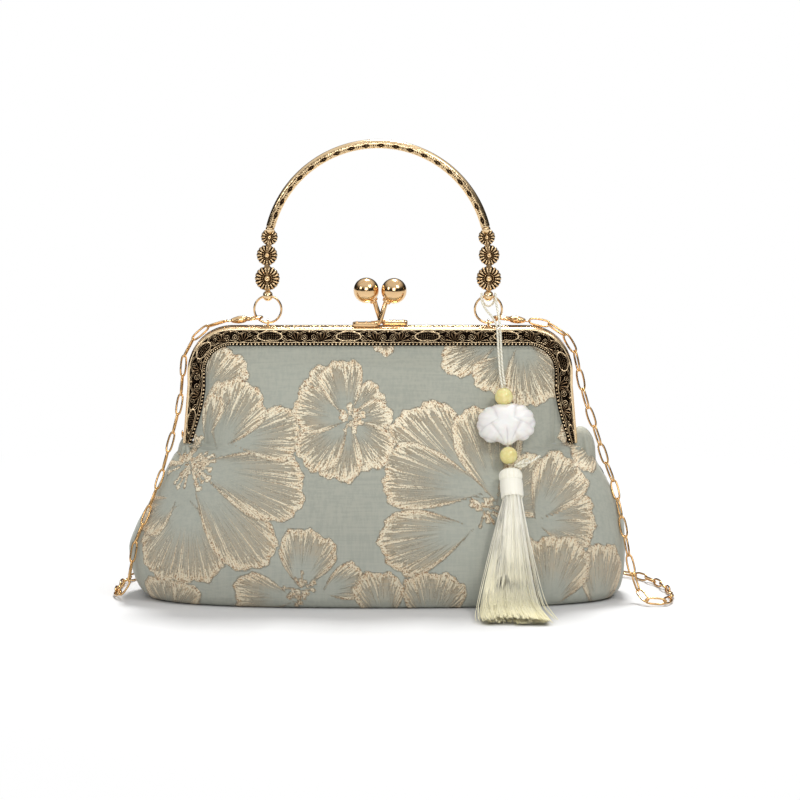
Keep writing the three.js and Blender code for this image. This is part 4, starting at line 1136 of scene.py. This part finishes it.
def frame_line(count):
    """Places at equal distances along the frame's outer edge, over the legs, corners and top."""
    turn = np.linspace(0, math.pi / 2, 40)
    left = np.stack([CORNER - FRAME_HALF - CORNER * np.cos(turn), ARC_CENTRE + CORNER * np.sin(turn)], -1)
    leg = [(-FRAME_HALF - LEG_FLARE, LEG_END), (-FRAME_HALF, LEG_STRAIGHT)]
    half = np.vstack([leg, left])
    line = np.vstack([half, half[::-1] * np.array([-1, 1])])
    far = distances(line)
    marks = np.linspace(0, far[-1], count)
    place = read_off(line, far, marks)
    way = unit(np.gradient(place, axis=0))
    return place, np.stack([way[:, 1], -way[:, 0]], -1), marks - far[-1] / 2


def stroke(distance, half):
    """A raised line's height: 1 on the line and 0 beyond its half-width."""
    return np.clip(1 - (distance / half) ** 2, 0, 1)


def scroll(across, up, size, turn, hand):
    """The distance from a spiral that winds inwards from a radius of size, one turn every 0.8."""
    far = np.hypot(across, up)
    angle = hand * np.arctan2(up, across) + turn
    step = wrapped(far - 0.8 * angle / TAU, 0.8)
    return np.where(far < size, np.abs(step), np.abs(far - size) + 0.2 * (far > size))


def band_relief(far, up):
    """The relief's height, 0 to 1, by the distance along the band and the height on it. In every
    repeat two scrolls meet under a bud, and halfway between two buds an oval is filled with dots.
    Scalloped lines run over them, leaves fan out between them and fine grains fill the rest."""
    u = wrapped(far - PATTERN_START, REPEAT)
    m = np.abs(u)
    n = REPEAT / 2 - m
    shift = 0.36 * (np.round(up / 0.66) % 2 - 1)
    grain = np.hypot(wrapped(u + shift, 0.72), wrapped(up, 0.66))
    height = 0.62 * stroke(grain, 0.3)
    leaf = np.abs(np.sin(6.5 * np.arctan2(up + 2.8, m - 6.0)))
    from_stalk = np.hypot(m - 6.0, up + 2.8)
    fan = (from_stalk < 4.4) & (from_stalk > 1.0) & (up > -2.4)
    height = np.where(fan, 0.75 * leaf**2, height)
    # Spirals: place along and up, size, turn, hand, and the line's half-width
    for along, rise, size, turn, hand, half in (
            (2.3, -0.5, 1.75, 0.6, 1, 0.25), (12.3, -0.7, 1.55, 2.4, -1, 0.24),
            (9.3, 1.0, 1.3, 4.0, 1, 0.23)):
        inside = np.hypot(m - along, up - rise) < size + 0.2
        height = np.where(inside, stroke(scroll(m - along, up - rise, size, turn, hand), half), height)
    oval = np.hypot(n / 6.0, (up + 0.1) / 2.35)
    dots = np.hypot(wrapped(n, 0.9), wrapped(up + 0.1, 0.84))
    height = np.where(oval < 1, 0.95 * stroke(dots, 0.36), height)
    arch = 1.1 + 1.75 * np.abs(np.sin(math.pi * (n + 4.8) / 9.65)) ** 0.8
    for near, half in (
            (np.abs(oval - 1) * 2.35, 0.3), (np.hypot(m, (up - 2.2) * 0.7), 0.7),
            (np.abs(up - arch), 0.26), (np.abs(up - arch + 0.62), 0.16),
            (np.abs(up + 2.5 - 0.55 * np.sin(TAU * (n + 2.0) / 9.65)), 0.2)):
        height = np.maximum(height, stroke(near, half))
    return height


def aged(height, polish):
    """The values that embossed_finish reads."""
    return {"relief_height": height, "polish_share": polish}


def frame_half(front, count):
    """One half of the frame: its channel section is carried along the outer edge, and its face
    carries the relief and the row of beads along the inner edge."""
    place, inward, far = frame_line(count)
    width = face_width(place[:, 1])
    near, out = HALVES_GAP / 2, FRAME_DEPTH
    lane = np.maximum(width - BEAD_LANE, 1.5)
    deep = 0.9 + np.linspace(0, 1, FACE_ROWS)[:, None] * (width - 0.9)
    on_lane = deep < lane
    relief = np.where(on_lane, band_relief(far, (0.5 - (deep - 0.9) / (lane - 0.9)) * 6.2), 0)
    border = stroke(deep - 1.15, 0.3) + stroke(deep - lane, 0.26)
    from_bead = np.hypot(wrapped(far, BEAD_PITCH), deep - (width - BEAD_LANE / 2))
    beads = np.sqrt(np.clip(1 - (from_bead / 0.68) ** 2, 0, 1)) * ~on_lane
    height = np.clip(np.maximum(np.maximum(relief, beads), border), 0, 1)
    height[0] = 1
    back = np.minimum(5.0, width * 0.8)

    def spread(values):
        """Each value as a row that is as long as the band."""
        return np.stack([np.broadcast_to(value, width.shape) for value in values])

    # The section's other points, before and behind the face: how far inwards and how deep
    outer = [
        (0, near), (0, 1.8), (0, 3.6), (0, out - CHAMFER - 0.2), (0.14, out - 0.4), (0.45, out - 0.05)]
    inner = [
        (width, out - 0.6), (width, out - FRAME_WALL), (FRAME_WALL, out - FRAME_WALL),
        (FRAME_WALL, near + FRAME_WALL), (back, near + FRAME_WALL), (back, near), (0, near)]
    depth = np.vstack([
        spread(y for _, y in outer), out - 0.35 + 0.75 * height, spread(y for _, y in inner)])
    inset = np.vstack([spread(x for x, _ in outer), deep, spread(x for x, _ in inner)])
    raised = np.vstack([spread([1.0] * len(outer)), height, spread([0.5] * len(inner))])
    polish = spread([1.0] * len(outer) + [0.0] * FACE_ROWS + [0.4] * len(inner))
    points = np.stack([
        place[:, 0] + inward[:, 0] * inset, front * depth, place[:, 1] + inward[:, 1] * inset], -1)
    ends = [np.broadcast_to(points[:, k].mean(0), points[:, :1].shape) for k in (0, -1)]
    points = np.concatenate([ends[0], points, ends[1]], 1)
    return points, aged(repeat_ends(raised.T).T, repeat_ends(polish.T).T)


def ear(x):
    """An eye of round wire on the rim, soldered on a short post."""
    eye, _ = hoop((x, RING_Y, RING_BOTTOM), 1.42, 0.5, (1, 0, 0), 36, 10)
    low = (x - 0.7, RING_Y - 1.3, FRAME_TOP - 0.8)
    post, _ = rounded_bar(low, (x + 0.7, RING_Y + 1.3, RING_BOTTOM - 0.95))
    return [(eye, aged(1.0, 1.0)), (post, aged(1.0, 1.0))]


antique = embossed_finish("frame_metal", RECESS, RAISED, RUBBED)
make_piece("frame_front_half", [frame_half(-1, 1300)], antique, ["frame_front"])
back_half = [frame_half(1, 980), *ear(RING_X[0]), *ear(RING_X[1])]
make_piece("frame_back_half", back_half, antique, ["frame_back"])

# Pins, kiss-lock and rings

SIDES = (("left", -1), ("right", 1))
BALL_RADIUS = 6.25
BALL_X = 6.8
BALL_Z = 151.1
# Profiles: radius and distance along the axis
PIN_PROFILE = [
    (0, -3), (0.9, -3), (1.1, -2.8), (1.1, 0), (1.9, 0.02), (2.0, 0.2), (1.75, 0.55), (1.1, 0.8),
    (0, 0.88)]
RIVET_PROFILE = [(0, 0.35), (0.5, 0.3), (0.8, 0.1), (0.85, -0.3)]
COLLAR_PROFILE = [
    (0, -0.8), (1.6, -0.8), (2.15, -0.5), (2.25, 0.1), (1.9, 0.6), (1.45, 0.8), (0, 0.8)]
CUP_PROFILE = [(0, -0.2), (1.9, -0.1), (2.15, 0.3), (2.2, 1.2), (1.9, 2.0), (1.3, 2.8), (0, 3.2)]


def pivot_pin(side):
    """A pin with a low domed head outside the rims and a plain shank between them."""
    height = LEG_END + 3.4
    start = float(frame_reach(height)) + 0.45
    return turned(PIN_PROFILE, (side * start, 0, height), (side, 0, 0), 28)


def kiss_lock(side):
    """A foot riveted on the rim, a stem that leans across the middle, a collar and a ball."""
    depth = side * 3.15
    foot_low, foot_high = FRAME_TOP + 0.3, FRAME_TOP + 2.5
    centre = np.array([-side * BALL_X, side * 1.0, BALL_Z])
    way = unit(np.array([side * 3.81, (depth - centre[1]) * 0.45, -5.375]))
    top, low_end = centre + way * 5.85, centre + way * 6.95
    low_x, high_x = sorted((side * 1.0, side * 13.5))
    foot = rounded_bar((low_x, depth - 2.1, foot_low), (high_x, depth + 2.1, foot_high), power=7)
    rise = low_end[2] - foot_high
    stem = smooth_line([
        (side * 4.4, depth, foot_high - 0.9), (side * 2.2, depth, foot_high - 0.7),
        (side * 0.5, depth, foot_high - 0.1), (centre[0] * 0.1, depth * 0.98, foot_high + rise * 0.3),
        (centre[0] * 0.3, depth * 0.85, foot_high + rise * 0.75), low_end, top], 0.4)
    thick = 1.3 - 0.15 * np.linspace(0, 1, len(stem))
    rivets = [turned(RIVET_PROFILE, (side * x, depth, foot_high), (0, 0, 1), 20) for x in (6.8, 11.4)]
    collar = turned(COLLAR_PROFILE, (top + low_end) / 2, way, 32)
    return [foot, tube(stem, thick, 18), collar, ball(centre, BALL_RADIUS, 56), *rivets]


polished = polished_finish("polished_metal", (234, 198, 150), (204, 160, 108), 0.13)
for name, side in SIDES:
    make_piece(f"pin_{name}", [pivot_pin(side)], polished, [f"pivot_pin_{name}"])
make_piece("lock_front", kiss_lock(-1), polished, ["clasp_front"])
make_piece("lock_back", kiss_lock(1), polished, ["clasp_back"])
for (name, _), x in zip(SIDES, RING_X):
    wire = hoop((x, RING_Y, RING_Z), RING_RADIUS, 0.55, (0, 1, 0), 96, 16)
    make_piece(f"round_ring_{name}", [wire], polished, [f"ring_{name}"])

# The handle

ARCH_X = -1.0
ARCH_Z = 168.6
ARCH_RADIUS = 54.4
ROD_RADIUS = 2.25
ARCH_START = math.radians(14.5)
LEAF_PITCH = 7.4
# Flowers: height over the pivot, shift outwards, radius, half-thickness and number of petals
FLOWERS = [(8.6, 0.2, 6.15, 1.8, 18), (20.1, 0.3, 5.15, 1.6, 16), (29.0, -0.9, 4.15, 1.5, 14)]


def arch_place(angle):
    """Places on the rod's middle line, at angles from the level to the right."""
    return np.stack([
        ARCH_X + ARCH_RADIUS * np.cos(angle), np.full_like(angle, RING_Y),
        ARCH_Z + ARCH_RADIUS * np.sin(angle)], -1)


def handle_rod():
    """The rod: a pipe along the arc. On its front and back, a little inside the middle, leaves are
    cut in with short dashes between them; the rest is polished."""
    line = arch_place(np.linspace(ARCH_START, math.pi - ARCH_START, 700))
    angle = full_turn(40)
    far = np.linspace(0, (math.pi - 2 * ARCH_START) * ARCH_RADIUS, len(line))[:, None]
    round_it = wrapped(angle, TAU)
    folded = np.where(np.abs(round_it) < math.pi / 2, round_it, np.sign(round_it) * math.pi - round_it)
    turn = folded * ROD_RADIUS + 0.65
    u = far % LEAF_PITCH - LEAF_PITCH / 2
    leaf = np.hypot(u / 2.5, turn / (0.95 - 0.2 * np.abs(u) / 2.5))
    cuts = (1 - smooth_rise(leaf, 0.8, 1.05)) * (1 - 0.8 * stroke(turn - 0.2 * np.sin(u * 1.5), 0.2))
    dash = stroke(wrapped(u, 0.9), 0.3) * stroke(turn, 0.6)
    cuts = np.maximum(cuts, dash * (np.abs(u) > 2.4))
    cuts = np.maximum(cuts, 0.55 * stroke(np.abs(turn) - 1.3 + 0.18 * np.cos(u * 1.7), 0.16))
    radius = ROD_RADIUS - 0.2 * cuts
    points = pipe(line, angle, radius, (0, -1, 0))
    plain = np.zeros((1, len(angle)))
    height = 1 - np.concatenate([plain, cuts, plain])
    smooth = repeat_ends(smooth_rise(np.abs(turn), 1.2, 1.8) * (1 - cuts)) * 0.85
    return points, aged(height, smooth)


def flower_disc(centre, radius, half_thick, petals):
    """A cast flower: round the middle a button with a dimple, a moat with fine beads, then petals
    whose height follows a rounded cosine of the angle; the edge is scalloped, and the back has the
    same relief, lower."""
    angle = full_turn(petals * 6)
    half = np.linspace(0, 1, 25)
    reach = np.concatenate([half, half[::-1][1:]])[:, None]
    face = np.repeat([-1.0, 1.0], [25, 24])[:, None]
    petal = np.abs(np.cos(angle * petals / 2)) ** 0.5
    zone = smooth_rise(reach, 0.42, 0.5)
    button = 1.35 * np.sqrt(np.clip(1 - (reach / 0.3) ** 2, 0, 1)) - 0.5 * stroke(reach, 0.11)
    moat = 0.5 * smooth_rise(reach, 0.24, 0.34) * (1 - zone)
    grains = 0.35 * stroke(reach - 0.37, 0.06) * (0.6 + 0.4 * np.cos(angle * petals))
    blade = (1.05 - 0.45 * ((reach - 0.7) / 0.3) ** 2) * (0.35 + 0.65 * petal)
    height = np.maximum(button * (reach < 0.31), moat + grains) * (1 - zone) + blade * zone
    depth = half_thick * np.where(face < 0, height, height * 0.6 + 0.2)
    depth = depth * np.sqrt(np.clip(1 - reach**8, 0, 1))
    out = radius * reach * (1 - 0.07 * (1 - petal) * smooth_rise(reach, 0.6, 1))
    points = centre + np.stack([out * np.cos(angle), face * depth, out * np.sin(angle)], -1)
    shade = np.clip(np.where(zone > 0.5, 0.05 + 0.9 * petal**2.5, height - 0.1), 0, 1)
    return points, aged(shade, 0.0)


def handle_end(side):
    """Three flowers on necks under the rod's end, a cup round that end, and an eye that hangs on
    the ring."""
    x = ARCH_X + side * 54.2
    parts, stops = [], [np.array([x, RING_Y, PIVOT_Z + 2.0])]
    for rise, shift, radius, thick, petals in FLOWERS:
        centre = np.array([x + side * shift, RING_Y, PIVOT_Z + rise])
        parts.append(flower_disc(centre, radius, thick, petals))
        stops.append(centre)
    t = np.linspace(0, 1, 12)
    for low, high in zip(stops[:-1], stops[1:]):
        neck = low + (high - low) * t[:, None]
        parts.append((tube(neck, 0.95 + 0.45 * np.sin(t * math.pi) ** 2, 16)[0], aged(0.55, 0.1)))
    end = arch_place(np.array([ARCH_START if side > 0 else math.pi - ARCH_START]))[0]
    down = np.array([side * math.sin(ARCH_START), 0, -math.cos(ARCH_START)])
    cup, _ = turned(CUP_PROFILE, end + down * 0.4, down, 32)
    eye, _ = bead((x, RING_Y, PIVOT_Z), 2.6, 1.15, (1, 0, 0))
    return [*parts, (cup, aged(1.0, 0.8)), (eye, aged(1.0, 1.0))]


engraved = embossed_finish("handle_metal", (34, 22, 14), (204, 168, 122), (248, 222, 178))
make_piece("handle_rod", [handle_rod()], engraved, ["handle_arch"], body="handle")
for name, side in SIDES:
    make_piece(
        f"handle_flowers_{name}", handle_end(side), engraved, [f"handle_end_{name}"], body="handle")

# The shoulder chain and its clasps

CHAIN_ROUTE = [
    (-75.2, 3, 135.9), (-80.4, 2.6, 134.8), (-87, 1.8, 131.9), (-92.4, 0.6, 126.4), (-96.2, -0.6, 119.2),
    (-97.2, -2, 108), (-98.4, -4, 96), (-101, -6, 84.5), (-104.2, -7.6, 73), (-107.4, -8.4, 61.5),
    (-112, -12, 49), (-116.4, -15.4, 38), (-120.5, -17.4, 27.5), (-122.2, -18.4, 17), (-124, -18.6, 8),
    (-128.4, -15, 2.7), (-130.6, -5, 2.2), (-129.6, 10, 2.2), (-127.5, 26, 2.2), (-120, 42, 2.2),
    (-106, 49, 2.2), (-80, 51, 2.2), (-40, 50.5, 2.2), (0, 51.5, 2.2), (40, 50.5, 2.2), (80, 51, 2.2),
    (106, 52, 2.2), (120, 48.4, 2.2), (131, 36, 2.2), (138.5, 18, 2.2), (142.5, -2, 2.2),
    (142.8, -22, 2.2), (138, -34, 2.2), (130.4, -33.6, 2.7), (126, -24.6, 7.4), (122.8, -17.4, 18),
    (120.4, -14.6, 31), (117.7, -11.4, 44), (114.7, -4.6, 57.4), (110.4, -3.4, 68.5), (106.8, -2.6, 80),
    (102.6, -1.6, 92), (99.2, -0.6, 104), (97.2, 0.6, 114), (94.6, 1.6, 123.9), (88.7, 2.4, 131),
    (80.8, 2.8, 135), (73.2, 3, 135.9)]
LINK_LENGTH = 11.0
LINK_WIDTH = 3.1
LINK_WIRE = 0.5
ROLLS = (0.3, -0.8)
CLASP_TILT = math.radians(6.5)
HOOK_REACH = 3.9
LEVER_LINE = [
    (7.6, -2.2, 0.6), (8.2, -2.9, 0.8), (9.2, -3.1, 0.8), (10.2, -2.4, 0.6), (10.8, -1.4, 0.4)]


def chain_links():
    """Long oval links of round wire: each lies along the chain's line between two marks, and is
    rolled about it by one of two angles in turn."""
    line = smooth_line(CHAIN_ROUTE, 0.5)
    far = distances(line)
    count = int(round((far[-1] - 1.0) / (LINK_LENGTH - 3 * LINK_WIRE)))
    pitch = (far[-1] - 1.0) / count
    middle = 0.5 + pitch * (np.arange(count) + 0.5)
    low, high = (read_off(line, far, middle + shift) for shift in (-pitch / 2, pitch / 2))
    side, _ = carried_frames(line)
    side = side[np.clip(np.searchsorted(far, middle), 0, len(line) - 1)]
    ahead = unit(high - low)
    side = unit(side - ahead * (side * ahead).sum(-1, keepdims=True))
    roll = np.resize(ROLLS, count)[:, None]
    flat = np.cos(roll) * side + np.sin(roll) * np.cross(ahead, side)
    square = np.cross(ahead, flat)
    turn = full_turn(36)
    right, up = np.cos(turn), np.sin(turn)
    x = LINK_LENGTH / 2 * squared_off(right, 0.8) - LINK_WIRE * right
    y = LINK_WIDTH / 2 * squared_off(up, 0.72)
    out = unit(np.stack([np.gradient(y), -np.gradient(x)], -1))
    angle = full_turn(9)
    ring_x = x[:, None] + LINK_WIRE * np.cos(angle) * out[:, :1]
    ring_y = y[:, None] + LINK_WIRE * np.cos(angle) * out[:, 1:]
    ring_z = np.broadcast_to(LINK_WIRE * np.sin(angle), ring_x.shape)
    ring = np.stack([ring_x, ring_y, ring_z], -1)
    ways = np.stack([ahead, flat, square], 1)
    points = ((low + high) / 2)[:, None, None] + np.einsum("rcd,kdx->krcx", ring, ways)
    return [(link, {"u": turn[:, None] * 3, "v": angle}) for link in points]


def lobster_clasp(side, ring_x):
    """A lobster clasp in its own frame, turned by its tilt and put by the ring: an oval hook of
    tapering wire, a pear-shaped body, a thumb lever and the eye for the chain."""
    x_way = np.array([side * math.cos(CLASP_TILT), 0, -math.sin(CLASP_TILT)])
    y_way = np.array([0, side, 0])
    ways = np.stack([x_way, y_way, np.cross(x_way, y_way)])
    start = np.array([ring_x + side * 2.986, RING_Y, 137.6])
    turn = full_turn(56)
    hook = np.stack([HOOK_REACH * (1 + np.cos(turn)), 2.5 * np.sin(turn), 0 * turn], -1)
    out = unit(hook - np.array([HOOK_REACH, 0, 0]))
    thick = 0.72 + 0.25 * hump(np.cos(turn), 1, 0.7)
    ring = circle(full_turn(12), out[:, None], np.array([0, 0, 1]))
    wire = hook[:, None] + thick[:, None, None] * ring
    along = np.linspace(0, 1, 28)
    swell = curve_through(
        along, np.array([0, .05, .25, .5, .8, .95, 1]), np.array([0, .6, .95, 1, .74, .5, 0]))
    profile = np.stack([2.15 * swell, 8.4 * along], -1)
    body, _ = turned(profile, (7.05, 0, 0), (1, 0, 0), 32, 0.86)
    lever, _ = tube(smooth_line(LEVER_LINE, 0.4), 0.5, 10)
    eye, _ = hoop((16.2, 0, 0), 1.1, 0.42, (0, 0, 1), 30, 10)
    return [(start + grid @ ways, {"u": 0.0, "v": 0.0}) for grid in (wire, body, lever, eye)]


chain_gold = polished_finish("chain_metal", (226, 184, 128), (190, 146, 92), 0.2)
make_piece("chain_links", chain_links(), chain_gold, ["chain"])
for (name, side), x in zip(SIDES, RING_X):
    make_piece(f"lobster_{name}", lobster_clasp(side, x), polished, [f"chain_clasp_{name}"])
